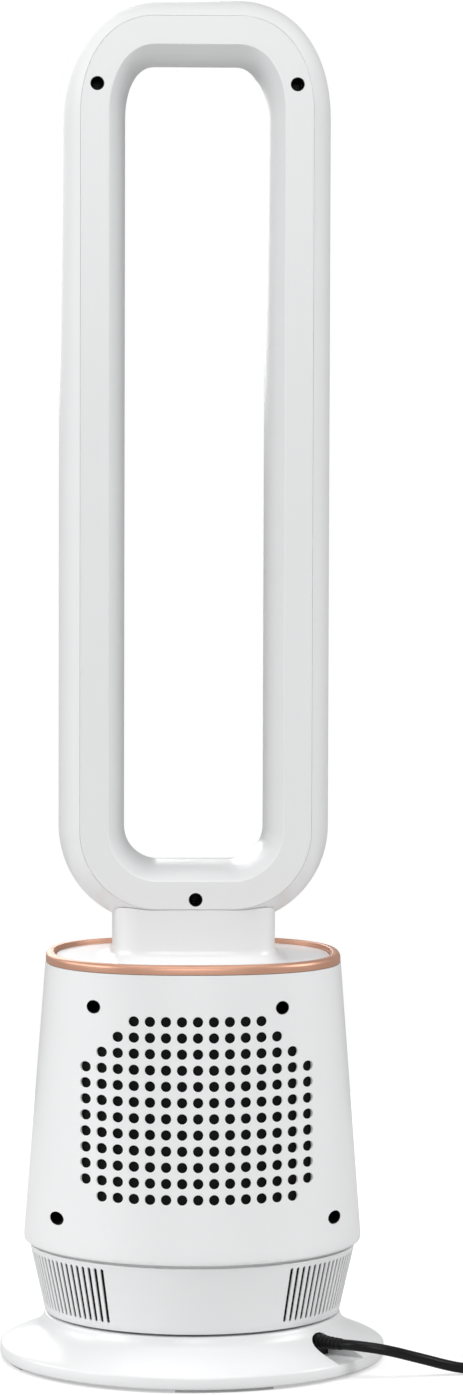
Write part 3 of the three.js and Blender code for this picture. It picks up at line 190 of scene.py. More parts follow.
def lofted(rings, close=True):
    # A circle whose copies are pulled into each ring in turn.
    bm = bmesh.new()
    bmesh.ops.create_circle(bm, segments=len(rings[0]), radius=1)
    bm.verts.ensure_lookup_table()
    line = bm.verts[:]
    for vert, point in zip(line, rings[0]):
        vert.co = point
    edges = bm.edges[:]
    for ring in rings[1:]:
        places = {vert.co.to_tuple(4): i for i, vert in enumerate(line)}
        made = bmesh.ops.extrude_edge_only(bm, edges=edges)["geom"]
        fresh = [None] * len(line)
        for item in made:
            if isinstance(item, bmesh.types.BMVert):
                fresh[places[item.co.to_tuple(4)]] = item
        edges = [item for item in made if isinstance(item, bmesh.types.BMEdge)
                 and all(v in fresh for v in item.verts)]
        for vert, point in zip(fresh, ring):
            vert.co = point
        line = fresh
    if close:
        bmesh.ops.remove_doubles(bm, verts=bm.verts[:], dist=0.0005)
    else:
        bmesh.ops.holes_fill(bm, edges=[e for e in bm.edges if e.is_boundary])
    bmesh.ops.recalc_face_normals(bm, faces=bm.faces[:])
    return bm


def standIn(bm, name="work"):
    mesh = bpy.data.meshes.new(name)
    bm.to_mesh(mesh)
    obj = bpy.data.objects.new(name, mesh)
    scene.collection.objects.link(obj)
    return obj


def modified(bm, kind, **settings):
    obj = standIn(bm)
    modifier = obj.modifiers.new(kind, kind)
    for key, value in settings.items():
        setattr(modifier, key, value)
    graph = bpy.context.evaluated_depsgraph_get()
    graph.update()
    result = bmesh.new()
    result.from_object(obj, graph)
    bpy.data.objects.remove(obj)
    bm.free()
    return result


def combined(bm, tool, operation):
    cutter = standIn(tool, "cutter")
    result = modified(bm, "BOOLEAN", object=cutter, operation=operation, solver="EXACT")
    bpy.data.objects.remove(cutter)
    return result


def joined(bms):
    whole = bmesh.new()
    for bm in bms:
        mesh = bpy.data.meshes.new("part")
        bm.to_mesh(mesh)
        whole.from_mesh(mesh)
        bpy.data.meshes.remove(mesh)
        bm.free()
    return whole


def outward(bm):
    # If the faces look towards the fan's axis, all are turned round.
    bm.normal_update()
    score = 0
    for face in bm.faces:
        score += face.normal.xy.dot(face.calc_center_median().xy)
    if score < 0:
        bmesh.ops.reverse_faces(bm, faces=bm.faces[:])
    return bm


def moved(bm, matrix):
    bmesh.ops.transform(bm, matrix=matrix, verts=bm.verts[:])
    return bm


def boxBetween(low, high):
    bm = bmesh.new()
    size = [b - a for a, b in zip(low, high)]
    middle = [(a + b) / 2 for a, b in zip(low, high)]
    bmesh.ops.create_cube(bm, size=1)
    return moved(bm, Matrix.Translation(middle) @ Matrix.Diagonal((*size, 1)))


def barAlongY(radius, x, z, low, high, steps=48):
    bar = spun([(0, low), (radius, low), (radius, high), (0, high)], steps, closed=False)
    return moved(bar, Matrix.Translation((x, 0, z)) @ Matrix.Rotation(-turn / 4, 4, "X"))


def smoothLine(points, steps):
    # Points of a soft curve through the given ones.
    line = []
    for i in range(len(points) - 1):
        a, b = points[max(i - 1, 0)], points[i]
        c, d = points[i + 1], points[min(i + 2, len(points) - 1)]
        for k in range(steps):
            t = k / steps
            line.append(tuple(
                0.5 * (2 * q + (r - p) * t + (2 * p - 5 * q + 4 * r - s) * t * t
                       + (3 * q - p - 3 * r + s) * t ** 3)
                for p, q, r, s in zip(a, b, c, d)))
    line.append(tuple(points[-1]))
    return line


def finishPiece(name, bm, finish, body, replacing=(), sharp=32, material=None):
    bmesh.ops.scale(bm, vec=(0.001, 0.001, 0.001), verts=bm.verts[:])
    mesh = bpy.data.meshes.new(name)
    bm.to_mesh(mesh)
    bm.free()
    mesh.shade_smooth()
    mesh.set_sharp_from_angle(angle=math.radians(sharp))
    obj = bpy.data.objects.new(name, mesh)
    scene.collection.objects.link(obj)
    mesh.materials.append(material or finishes[finish])
    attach(obj, body)
    if replacing:
        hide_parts(*replacing)
    return obj


# The cord leaves its relief, comes down to the floor and runs into a coil beside the fan.
cord = {
    "diameter": 6.8,
    "length": 1.55,  # metres
    "lead": [(-100, 75.4, 20.3), (-107.5, 78.3, 19.9), (-116, 79.8, 18.9), (-126, 79.6, 16.8),
             (-136.5, 78, 13.9), (-147.5, 75.3, 10.6), (-158.5, 72.4, 7.2), (-169.5, 70, 4.5),
             (-181, 68.5, 3.5), (-195, 67.7, 3.4), (-210, 67.4, 3.4), (-225, 67.4, 3.4)],
    "tail": [(-290.4, 9, 10.6), (-290.4, 1, 10.1), (-290.4, -7, 9.2), (-290.4, -15, 8.2),
             (-290.4, -23, 7.4)],
    "coilCentre": (-240, 17),
    "coilRadius": 50.4,
    "coilPitch": 7.3,
    "coilTurns": 5.25,
    "pointsPerTurn": 24,
    "exitAngle": math.radians(143),
    "exitRadius": 117.6,
    "exitHeight": 20,
    "plugMouth": (-290.4, -32, 7),
}


def coilLine():
    half = cord["coilTurns"] / 2
    line = []
    count = round(cord["coilTurns"] * cord["pointsPerTurn"])
    for i in range(count + 1):
        at = i / count * cord["coilTurns"]
        inward = min(at, cord["coilTurns"] - at)
        r = cord["coilRadius"] - cord["coilPitch"] * inward
        t = min(1, max(0, (at - half + 0.25) / 0.5))  # halfway the cord climbs to the second layer
        angle = turn / 4 + at * turn
        line.append((cord["coilCentre"][0] + r * math.cos(angle),
                     cord["coilCentre"][1] + r * math.sin(angle),
                     cord["diameter"] / 2 + cord["coilPitch"] * t * t * (3 - 2 * t)))
    return line


def makeCord():
    exitPoint = (cord["exitRadius"] * math.cos(cord["exitAngle"]),
                 cord["exitRadius"] * math.sin(cord["exitAngle"]), cord["exitHeight"])
    line = [exitPoint, *cord["lead"], *coilLine(), *cord["tail"], cord["plugMouth"]]
    curve = bpy.data.curves.new("mainsCord", "CURVE")
    curve.dimensions = "3D"
    curve.bevel_depth = cord["diameter"] / 2000  # half of it, in metres
    curve.bevel_resolution = 5
    curve.resolution_u = 4
    curve.use_fill_caps = True
    spline = curve.splines.new("BEZIER")
    spline.bezier_points.add(len(line) - 1)
    for point, place in zip(spline.bezier_points, line):
        point.co = [c / 1000 for c in place]
        point.handle_left_type = point.handle_right_type = "AUTO"
    obj = bpy.data.objects.new("mainsCord", curve)
    scene.collection.objects.link(obj)
    curve.materials.append(finishes["black_cord"])
    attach(obj, "base")
    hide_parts("cord_lead", "cord_coil", "cord_tail")
    return obj, [c / 1000 for c in exitPoint]


mainsCord, cordExit = makeCord()
print("cord laid")

gland = {
    "plateRadius": 14.1,
    "plateLow": 9.9,
    "plateCentre": 11,
    "plateThickness": 2,
    "start": 95.3,  # distances from the fan's axis
    "end": 117.3,
    "ribs": 6,
    "radius": 4.6,
    "taper": 0.9,
    "groove": 0.75,
}


def makeGland():
    start, end, ribs = gland["start"], gland["end"], gland["ribs"]
    r, back = gland["plateRadius"], start + gland["plateThickness"]
    plate = spun([(0, start), (r - 0.4, start), (r, start + 0.4), (r, back - 0.4), (r - 0.5, back),
                  (0, back)], 64, closed=False)
    moved(plate, Matrix.Translation((0, 0, gland["plateCentre"])) @ Matrix.Rotation(turn / 4, 4, "Y"))
    plate = combined(plate, boxBetween((80, -20, gland["plateLow"]), (110, 20, 60)), "INTERSECT")
    wide = gland["radius"]
    profile = [(0, start - 8), (7, start - 8), (7, start - 3.4), (wide, start - 3.4), (wide, start + 3)]
    step = (end - start - 4) / ribs
    for i in range(ribs):  # grooves let the relief bend
        at = start + 3.6 + i * step
        wide = gland["radius"] - gland["taper"] * (i / ribs)
        profile += [(wide, at + 0.1), (wide, at + step * 0.52), (wide - gland["groove"], at + step * 0.62),
                    (wide - gland["groove"], at + step * 0.9)]
    profile += [(3.65, end - 0.4), (3.5, end), (0, end)]
    relief = spun(profile, 40, closed=False)
    moved(relief, Matrix.Translation((0, 0, cord["exitHeight"])) @ Matrix.Rotation(turn / 4, 4, "Y"))
    whole = joined([plate, relief])
    moved(whole, Matrix.Rotation(cord["exitAngle"], 4, "Z"))
    return finishPiece("cordGland", whole, "black_plastic", "base", ["cord_gland"])


plug = {
    "width": 26,
    "length": 35,
    "height": 14,
    "shoulder": 12,
    "round": 2,
    "sleeve": 24,
    "sleeveRadius": 5.2,
    "sleeveRibs": 6,
    "ribPitch": 3.4,
}


def makePlug():
    block = boxBetween((-plug["width"] / 2, -plug["length"], -plug["height"] / 2),
                       (plug["width"] / 2, 0, plug["height"] / 2))
    back = [f for f in block.faces if f.normal.y > 0.9]
    made = bmesh.ops.extrude_face_region(block, geom=back)["geom"]
    bmesh.ops.delete(block, geom=back, context="FACES")
    shoulder = [v for v in made if isinstance(v, bmesh.types.BMVert)]
    bmesh.ops.translate(block, vec=(0, plug["shoulder"], 0), verts=shoulder)
    bmesh.ops.scale(block, vec=(0.42, 1, 0.76), verts=shoulder)
    bmesh.ops.bevel(block, geom=block.edges[:], affect="EDGES", offset=plug["round"], segments=4,
                    profile=0.5, material=-1)
    profile = [(0, -2), (plug["sleeveRadius"], -2)]
    for i in range(plug["sleeveRibs"]):
        at = 2 + i * plug["ribPitch"]
        wide = plug["sleeveRadius"] - 0.2 * i
        profile += [(wide, at), (wide, at + 1.8), (wide - 0.7, at + 2.2), (wide - 0.7, at + 3)]
    profile += [(3.9, plug["sleeve"] - 0.6), (3.6, plug["sleeve"]), (0, plug["sleeve"])]
    sleeve = moved(spun(profile, 36, closed=False), Matrix.Rotation(-turn / 4, 4, "X"))
    whole = joined([block, sleeve])
    x, y, z = cord["plugMouth"]
    moved(whole, Matrix.Translation((x, y - plug["sleeve"], z)))
    return finishPiece("mainsPlug", whole, "black_plastic", "base", ["plug_body"])


glandPiece = makeGland()
plugPiece = makePlug()
print("gland and plug made")

# The base is a thin flared shell with a tunnel for the cord.
base = {
    "radius": 125,
    "topRadius": 96.5,
    "height": 30,
    "rim": 9,
    "topPull": 13,  # how far the flare keeps its direction at either end
    "rimPull": 4,
    "hole": 62,
    "wall": 2.6,
    "tunnelRadius": 14.5,
    "tunnelCentre": 11,
    "tunnelFloor": 9.6,
    "tunnelBack": 95,
}


def flareLine(inset, steps):
    r0, r1 = base["topRadius"] - inset, base["radius"] - inset
    z0, z1 = base["height"] - inset, base["rim"] - inset / 2
    pulls = [(r0, z0), (r0, z0 - base["topPull"]), (r1, base["rim"] + base["rimPull"] - inset), (r1, z1)]
    line = []
    for i in range(steps + 1):
        t = i / steps
        weights = ((1 - t) ** 3, 3 * t * (1 - t) ** 2, 3 * t * t * (1 - t), t ** 3)
        line.append(tuple(sum(w * p[k] for w, p in zip(weights, pulls)) for k in (0, 1)))
    return line


def tunnelBar(radius, floor, start, end):
    bar = spun([(0, start), (radius, start), (radius, end), (0, end)], 64, closed=False)
    moved(bar, Matrix.Translation((0, 0, base["tunnelCentre"])) @ Matrix.Rotation(turn / 4, 4, "Y"))
    bar = combined(bar, boxBetween((start - 1, -40, floor), (end + 1, 40, 60)), "INTERSECT")
    return moved(bar, Matrix.Rotation(cord["exitAngle"], 4, "Z"))


def makeBaseSkirt():
    top, wall, radius = base["height"], base["wall"], base["radius"]
    outside = flareLine(0, 18)[1:]
    inside = flareLine(wall, 12)
    shell = spun([
        (base["hole"], top), (94.2, top), (94.9, top), (95.8, top - 0.3), (96.35, top - 0.9), *outside,
        (radius, 3.6), (radius - 0.3, 2.7), (radius - 0.9, 2.15), (radius - 1.6, 2),
        (radius - wall, 2), *reversed(inside), (base["hole"], top - wall),
    ], 144)
    inner = spun([(0, 4.5), (radius - 1, 4.5), *reversed(flareLine(1, 12)), (0, top - 1)], 144,
                 closed=False)
    liner = tunnelBar(base["tunnelRadius"] + 2, base["tunnelFloor"] - 2, base["tunnelBack"] - 2.5, radius)
    liner = combined(liner, inner, "INTERSECT")
    shell = combined(shell, liner, "UNION")
    shell = combined(shell, tunnelBar(base["tunnelRadius"], base["tunnelFloor"], base["tunnelBack"],
                                      radius + 10), "DIFFERENCE")
    return finishPiece("baseSkirt", shell, "white_gloss", "base", ["base_skirt"])


makeBaseSkirt()
print("base made")

# The louvre ring is a slotted cone that turns with the body.
louvre = {
    "lowRadius": 96,
    "highRadius": 105.8,
    "middleRadius": 101,
    "low": 31.6,
    "high": 75.3,
    "wall": 1,
    "slotWidth": 2.35,
    "slotLow": 36.2,
    "slotHigh": 72,
    "pitch": 2.83,  # degrees
    "first": 35.2,  # degrees from the rear
    "count": 38,  # on each side
    "rearColumns": 24,  # of the plain stretches between the slots
    "frontColumns": 26,
    "rim": 0.5,
    "rimInset": 0.35,
    "slotEnd": 0.6,  # height of a slot's narrower ends
    "round": 0.22,
    "spigot": 85.6,
    "spigotRadius": 104,
    "spigotWall": 2.4,
    "flange": (82, 95.3, 2.8),  # inner radius, outer radius, thickness
    # The screen is a dark sheet behind the slots: painted shade.
    "shadeScreenGap": 0.5,
    "shadeScreenThickness": 0.6,
    "shadeScreenLow": 38.4,
    "shadeScreenHigh": 73.5,
}


def louvreRadius(z):
    share = (z - louvre["low"]) / (louvre["high"] - louvre["low"])
    return louvre["lowRadius"] + share * (louvre["highRadius"] - louvre["lowRadius"])


def makeLouvreRing():
    half = math.degrees(louvre["slotWidth"] / 2 / louvre["middleRadius"])
    first, last = louvre["first"], louvre["first"] + louvre["pitch"] * (louvre["count"] - 1)
    centres = [side * (first + louvre["pitch"] * i) for side in (-1, 1) for i in range(louvre["count"])]
    angles = [centre + half * share for centre in centres for share in (-1, -0.5, 0.5, 1)]
    count = louvre["rearColumns"]
    angles += [half - first + 2 * (first - half) * i / count for i in range(1, count)]
    count = louvre["frontColumns"]
    angles += [last + half + 2 * (180 - last - half) * i / count for i in range(1, count)]
    angles.sort()
    slotParts = {}  # a column that lies in a slot, and whether it is its first, middle or last one
    for i, angle in enumerate(angles):
        for centre in centres:
            for part, share in enumerate((-1, -0.5, 0.5)):
                if abs(angle - centre - half * share) < 1e-6:
                    slotParts[i] = part
    low, high, rim, end = louvre["slotLow"], louvre["slotHigh"], louvre["rim"], louvre["slotEnd"]
    heights = [louvre["low"], louvre["low"] + rim, low, low + end, high - end, high,
               louvre["high"] - rim, louvre["high"]]
    bm = bmesh.new()
    columns, rows = len(angles), len(heights) - 1
    bmesh.ops.create_grid(bm, x_segments=columns, y_segments=rows, size=1)
    for vert in bm.verts:
        vert.co.x, vert.co.y = round((vert.co.x + 1) / 2 * columns), round((vert.co.y + 1) / 2 * rows)
    gone = []
    for face in bm.faces:
        middle = face.calc_center_median()
        part, row = slotParts.get(int(middle.x)), int(middle.y)
        if part is not None and (row == 3 or (part == 1 and row in (2, 4))):
            gone.append(face)
    bmesh.ops.delete(bm, geom=gone, context="FACES")
    for vert in bm.verts:
        i, z = int(round(vert.co.x)), heights[int(round(vert.co.y))]
        angle = math.radians(90 + angles[i % columns])
        r = louvreRadius(z) - (louvre["rimInset"] if z in (heights[0], heights[-1]) else 0)
        vert.co = (r * math.cos(angle), r * math.sin(angle), z)
    bmesh.ops.remove_doubles(bm, verts=bm.verts[:], dist=0.0005)
    outward(bm)
    ring = modified(bm, "SOLIDIFY", thickness=louvre["wall"], offset=-1)
    ring = modified(ring, "BEVEL", width=louvre["round"], segments=1, limit_method="ANGLE",
                    angle_limit=math.radians(50))
    outer, inner = louvre["spigotRadius"], louvre["spigotRadius"] - louvre["spigotWall"]
    edge = louvre["highRadius"] - louvre["wall"] * 0.6
    spigot = spun([(inner, high), (edge - 0.6, high), (edge, louvre["high"] - 0.8),
                   (outer, louvre["high"] - 0.5), (outer, louvre["spigot"]), (inner, louvre["spigot"])],
                  128)
    near, far, thick = louvre["flange"]
    base0, top0 = louvre["low"], louvre["low"] + thick
    flange = spun([(near, base0), (far, base0), (far, top0), (near, top0)], 128)
    return finishPiece("louvreRing", joined([ring, spigot, flange]), "white_gloss", "housing",
                       ["louvre_ring"])


def makeLouvreShadeScreen():
    # A fine dark sheet behind the slots is painted shade: it keeps the slots dark.
    low, high, thick = louvre["shadeScreenLow"], louvre["shadeScreenHigh"], louvre["shadeScreenThickness"]
    back = louvre["wall"] + louvre["shadeScreenGap"]
    screen = spun([(louvreRadius(low) - back - thick, low), (louvreRadius(low) - back, low),
                   (louvreRadius(high) - back, high), (louvreRadius(high) - back - thick, high)], 128)
    return finishPiece("louvreShadeScreen", screen, "black_filter", "housing")


makeLouvreRing()
makeLouvreShadeScreen()
print("louvre ring made")

# The body is round below and a slightly squared oval above. Its two shells meet at the sides.
body = {
    "low": 77.6,
    "high": 259,
    "deck": 262,
    "lowRadius": 109.8,
    "halfWidth": 95.5,  # at the deck
    "halfDepth": 89.5,
    "power": 2.4,  # how square the deck is; 2 is an ellipse
    "wall": 2.6,
    "edge": 3,
    "edgeInset": 1.5,
}


def bodyPoint(angle, z, inset=0.0):
    # angle is the direction in which the wall faces, seen from above.
    share = (z - body["low"]) / (body["deck"] - body["low"])
    dual = body["power"] / (body["power"] - 1)
    a, b = body["halfWidth"], body["halfDepth"]
    c, s = math.cos(angle), math.sin(angle)
    x, y = abs(a * c), abs(b * s)
    h = (x ** dual + y ** dual) ** (1 / dual)
    topX = math.copysign(a * (x / h) ** (dual - 1), c)
    topY = math.copysign(b * (y / h) ** (dual - 1), s)
    return ((1 - share) * body["lowRadius"] * c + share * topX - inset * c,
            (1 - share) * body["lowRadius"] * s + share * topY - inset * s, z)


def angleAt(x, z):
    # The direction in which the rear wall faces at a distance x from the middle.
    low, high = 0.0, turn / 4
    for _ in range(26):
        middle = (low + high) / 2
        if bodyPoint(middle, z)[0] > abs(x):
            low = middle
        else:
            high = middle
    return low if x >= 0 else turn / 2 - low


def edgeInset(share):
    # Height and inset along the rounded lower edge.
    t = share * turn / 4
    return body["low"] + body["edge"] * (1 - math.sin(t)), body["edgeInset"] * (1 - math.cos(t))


holes = {
    "pitch": 10.1,
    "radius": 3.25,
    "lip": 3.5,
    "lipDepth": 0.35,
    "top": 229.8,
    "rows": (9, 11, 13, 15, 15, 15, 15, 15, 15, 15, 15, 13),
    "sideColumns": 5,
    "cuts": 5,
    "seam": 0.2,
}

wells = {
    "places": ((65.6, 237.5), (-53.9, 237.5), (88.6, 100.5), (-88.6, 100.5)),
    "radius": 4.3,
    "wall": 1.6,
    "end": 8,
    "floor": 2.2,
    "reach": 115,  # beyond the rear shell, which cuts the tubes
}


def bodyCore(inset):
    heights = [body["low"] - 4, body["low"] + 60, body["low"] + 120, body["high"] - 1]
    return lofted([[bodyPoint(turn * i / 128, z, inset) for i in range(128)] for z in heights], close=False)


def rearPoint(column, row, heights, inset):
    # column is 0 in the middle, and row is 0 at the top of the shell
    if row >= len(heights) - 2:
        z, more = edgeInset(row - (len(heights) - 2))
        inset += more
    else:
        i = int(row)
        z = heights[i] + (heights[i + 1] - heights[i]) * (row - i)
    wide = max(holes["rows"]) / 2
    if abs(column) <= wide:
        angle = angleAt(column * holes["pitch"], z)
    else:
        start = angleAt(math.copysign(wide * holes["pitch"], column), z)
        end = 0.0 if column > 0 else turn / 2
        end += math.copysign(holes["seam"] / body["lowRadius"], column)
        angle = start + (end - start) * (abs(column) - wide) / holes["sideColumns"]
    return bodyPoint(angle, z, inset)


def makeRearShell():
    pitch, rows = holes["pitch"], holes["rows"]
    top = holes["top"] + pitch / 2
    heights = [body["high"], (body["high"] + top) / 2]
    heights += [top - pitch * i for i in range(len(rows) + 1)]
    low, rim = heights[-1], body["low"] + body["edge"]
    heights += [low + (rim - low) * i / 3 for i in (1, 2, 3)] + [body["low"]]
    columns, count = max(rows) + 2 * holes["sideColumns"], len(heights) - 1
    bm = bmesh.new()
    bmesh.ops.create_grid(bm, x_segments=columns, y_segments=count, size=1)
    for vert in bm.verts:
        vert.co.x = round((vert.co.x + 1) / 2 * columns) - columns / 2
        vert.co.y = count - round((vert.co.y + 1) / 2 * count)
    bmesh.ops.bisect_edges(bm, edges=bm.edges[:], cuts=holes["cuts"])
    pierced, plain = [], []
    for face in bm.faces:
        middle = face.calc_center_bounds()
        row = int(middle.y) - 2
        isHole = 0 <= row < len(rows) and abs(round(middle.x)) <= (rows[row] - 1) / 2
        (pierced if isHole else plain).append(face)
    bmesh.ops.poke(bm, faces=plain)
    centres = {face: face.calc_center_bounds() for face in pierced}
    insets = {}
    for radius, depth in ((holes["lip"], 0), (holes["radius"] + 0.08, holes["lipDepth"] * 0.4),
                          (holes["radius"], holes["lipDepth"])):
        bmesh.ops.inset_individual(bm, faces=pierced, thickness=0.004, depth=0)
        for face in pierced:
            for vert in face.verts:
                away = (vert.co - centres[face]).normalized()
                vert.co = centres[face] + away * (radius / pitch)
                insets[vert] = depth
    bmesh.ops.delete(bm, geom=pierced, context="FACES")
    for vert in bm.verts:
        vert.co = rearPoint(vert.co.x, vert.co.y, heights, insets.get(vert, 0))
    outward(bm)
    shell = modified(bm, "SOLIDIFY", thickness=body["wall"], offset=-1)
    r, end, reach = wells["radius"], wells["end"], wells["reach"]
    tubes = joined([barAlongY(r + wells["wall"], x, z, end, reach) for x, z in wells["places"]])
    tubes = combined(tubes, bodyCore(body["wall"] / 2), "INTERSECT")
    shell = joined([shell, tubes])
    cutters = joined([barAlongY(r, x, z, end + wells["floor"], reach + 10) for x, z in wells["places"]])
    shell = combined(shell, cutters, "DIFFERENCE")
    return finishPiece("rearShell", shell, "white_gloss", "housing", ["rear_shell"], sharp=30)


dust = {
    "side": 6,  # beyond the middles of the outermost holes
    "above": 4.2,
    "below": 6,
    "corner": 28,  # height of the slanted upper corners
    "slant": 0.92,
    "gap": 0.5,
    "thickness": 1.3,
}


def makeDustFilter():
    rows, pitch = holes["rows"], holes["pitch"]
    wide, top = max(rows) // 2 * pitch + dust["side"], holes["top"] + dust["above"]
    low = holes["top"] - (len(rows) - 1) * pitch - dust["below"]
    bm = bmesh.new()
    bmesh.ops.create_grid(bm, x_segments=40, y_segments=20, size=1)
    for vert in bm.verts:
        z = low + (top - low) * (vert.co.y + 1) / 2
        reach = wide - max(0, (z - top + dust["corner"]) * dust["slant"])
        vert.co = bodyPoint(angleAt(vert.co.x * reach, z), z, body["wall"] + dust["gap"])
    outward(bm)
    sheet = modified(bm, "SOLIDIFY", thickness=dust["thickness"], offset=-1)
    return finishPiece("dustFilter", sheet, "black_filter", "housing", ["dust_filter"])


front = {
    "window": (52, 17),
    "windowHeight": 226,
    "buttonRadius": 7.7,
    "buttonHeight": 200,
    "buttonProud": 0.6,
    "gap": 0.3,  # round the window and the button
    "cut": (-120, -60),
    "sheet": (200, 250),  # heights of the sheet that the window is cut from
    "sheetInset": 0.1,
    "sheetThickness": 1.3,
}


def windowBar(grow):
    wide, high = front["window"]
    z, (far, near) = front["windowHeight"], front["cut"]
    r = high / 2 + grow
    reach = wide / 2 - high / 2
    ends = [barAlongY(r, side * reach, z, far, near) for side in (-1, 1)]
    middle = boxBetween((-reach, far, z - r), (reach, near, z + r))
    return combined(combined(ends[0], ends[1], "UNION"), middle, "UNION")


def frontSheet(inset, low, high, across=64, up=16):
    bm = bmesh.new()
    bmesh.ops.create_grid(bm, x_segments=across, y_segments=up, size=1)
    start = turn / 2 + holes["seam"] / body["lowRadius"]
    end = turn - holes["seam"] / body["lowRadius"]
    edgeRows = 4 if low == body["low"] else 0  # the lower edge of the body is rounded
    straight = low + (body["edge"] if edgeRows else 0)
    for vert in bm.verts:
        angle = start + (end - start) * (vert.co.x + 1) / 2
        step = round((vert.co.y + 1) / 2 * up)
        if step < edgeRows:
            z, more = edgeInset(1 - step / edgeRows)
        else:
            z, more = straight + (high - straight) * (step - edgeRows) / (up - edgeRows), 0
        vert.co = bodyPoint(angle, z, inset + more)
    return outward(bm)


def makeFrontShell():
    sheet = frontSheet(0, body["low"], body["high"])
    shell = modified(sheet, "SOLIDIFY", thickness=body["wall"], offset=-1)
    shell = combined(shell, windowBar(front["gap"]), "DIFFERENCE")
    opening = barAlongY(front["buttonRadius"] + front["gap"], 0, front["buttonHeight"], *front["cut"], 64)
    shell = combined(shell, opening, "DIFFERENCE")
    shell = modified(shell, "BEVEL", width=0.25, segments=2, limit_method="ANGLE",
                     angle_limit=math.radians(60))
    return finishPiece("frontShell", shell, "white_gloss", "housing", ["front_shell"], sharp=30)


def makeWindow():
    sheet = frontSheet(front["sheetInset"], *front["sheet"], up=12)
    pane = modified(sheet, "SOLIDIFY", thickness=front["sheetThickness"], offset=-1)
    pane = combined(pane, windowBar(0), "INTERSECT")
    pane = modified(pane, "BEVEL", width=0.2, segments=2, limit_method="ANGLE",
                    angle_limit=math.radians(50))
    return finishPiece("displayWindow", pane, "smoked_window", "housing", ["display_window"], sharp=30)


def makeButton():
    r = front["buttonRadius"]
    face = -bodyPoint(-turn / 4, front["buttonHeight"])[1] + front["buttonProud"]
    profile = [(0, face - 0.5), (3, face - 0.42), (5.4, face - 0.15), (6.6, face), (r - 0.6, face - 0.05),
               (r - 0.15, face - 0.3), (r, face - 0.8), (r, face - 4), (r + 1.5, face - 4),
               (r + 1.5, face - 5.4), (0, face - 5.4)]
    knob = spun(profile, 64, closed=False)
    moved(knob, Matrix.Translation((0, 0, front["buttonHeight"])) @ Matrix.Rotation(turn / 4, 4, "X"))
    return finishPiece("powerButton", knob, "copper_trim", "button", ["power_button"])


makeRearShell()
makeDustFilter()
makeFrontShell()
makeWindow()
makeButton()
print("body made")

# A copper coloured ring lies round the deck, and the neck rises from it.
deck = {
    "trimLow": 259.3,
    "trimWidth": 6.2,
    "trimHeight": 5.8,
    "edge": 6.5,
    "thickness": 5.8,
    "lip": 3.4,
    "segments": 144,
    "neckHalfWidth": 52.4,
    "neckHalfDepth": 45,
    "neckPower": 4.5,
    "flare": 9,
    "flareHeight": 8,
    "neckTop": 310,
    "airHole": 41,
}


def deckRing(inset, z):
    count = deck["segments"]
    return [(*bodyPoint(turn * i / count, body["deck"], inset)[:2], z) for i in range(count)]


def neckRing(grow, z):
    a, b, power = deck["neckHalfWidth"] + grow, deck["neckHalfDepth"] + grow, deck["neckPower"]
    ring = []
    for i in range(deck["segments"]):
        angle = turn * i / deck["segments"]
        c, s = math.cos(angle), math.sin(angle)
        reach = (abs(c / a) ** power + abs(s / b) ** power) ** (-1 / power)
        ring.append((reach * c, reach * s, z))
    return ring


def makeTrimRing():
    low, high = deck["trimLow"], deck["trimLow"] + deck["trimHeight"]
    wide = deck["trimWidth"]
    profile = [(0, low), (0, high - 2.6), (0.25, high - 1.6), (0.8, high - 0.8), (1.7, high - 0.2),
               (2.7, high), (wide - 1.3, high), (wide - 0.9, high - 0.25), (wide - 0.75, high - 0.7),
               (wide, low)]
    rings = [deckRing(inset, z) for inset, z in profile]
    return finishPiece("trimRing", lofted([*rings, rings[0]]), "copper_trim", "housing", ["trim_ring"])


# Every point of the loop's section, a half width and a depth, becomes one ring round the loop.
loop = {
    "halfDepth": 45,
    "flatInner": 56,
    "flatOuter": 74,
    "halfWidth": 87.2,
    "throat": 45,
    "slotWidth": 2.6,  # where the air leaves
    "nose": 47,
    "topCentre": (26, 800.6),  # of an upper corner's arc
    "topRise": 15.6,  # how much higher than wide an upper corner is
    "topPower": 2.2,
    "lowCentre": (23.5, 346.8),
    "cornerSteps": 26,
    "wall": 2.3,
    "screws": ((63.5, 821.4), (-63.5, 821.4), (0, 302.5)),
    "wellRadius": 4.45,
    "wellWall": 1.15,
    "wellEnd": 20,
    "wellFloor": 2.2,
    "inlet": ((-46, -38, 270), (46, 38, 300)),  # where the neck's air comes in
}


def loopRing(halfWidth, depth):
    ring = []
    steps = loop["cornerSteps"]
    for (cx, cz), sx, sz, start in ((loop["topCentre"], 1, 1, 0), (loop["topCentre"], -1, 1, 1),
                                    (loop["lowCentre"], -1, -1, 2), (loop["lowCentre"], 1, -1, 3)):
        power = loop["topPower"] if sz > 0 else 2
        r = halfWidth - cx
        rise = r + loop["topRise"] if sz > 0 else r
        for i in range(steps + 1):
            angle = (start + i / steps) * turn / 4
            c, s = math.cos(angle), math.sin(angle)
            reach = (abs(c / r) ** power + abs(s / rise) ** power) ** (-1 / power)
            ring.append((sx * cx + reach * c, depth, cz + reach * s))
    return ring


def loopShape(profile):
    rings = [loopRing(w, y) for w, y in profile]
    return lofted([*rings, rings[0]])


def loopOutside(grow, steps=12):
    # The outer side of a section of the loop, from the rear edge round to the nose.
    wide, deep = loop["halfWidth"] + grow, loop["halfDepth"] + grow
    a, b, c = (loop["flatOuter"] + grow, deep), (wide - 2.6, loop["halfDepth"] - 18), (wide, 3)
    curve = [tuple((1 - t) ** 2 * p + 2 * t * (1 - t) * q + t * t * r for p, q, r in zip(a, b, c))
             for t in (i / steps for i in range(steps))]
    nose = loop["nose"] + grow
    return curve + smoothLine([(wide, 3), (wide, -9), (wide - 1.4, -26), (wide - 5, 8 - nose),
                               (wide - 11.5, 1.6 - nose), (loop["halfWidth"] - 19, -nose)], 4)


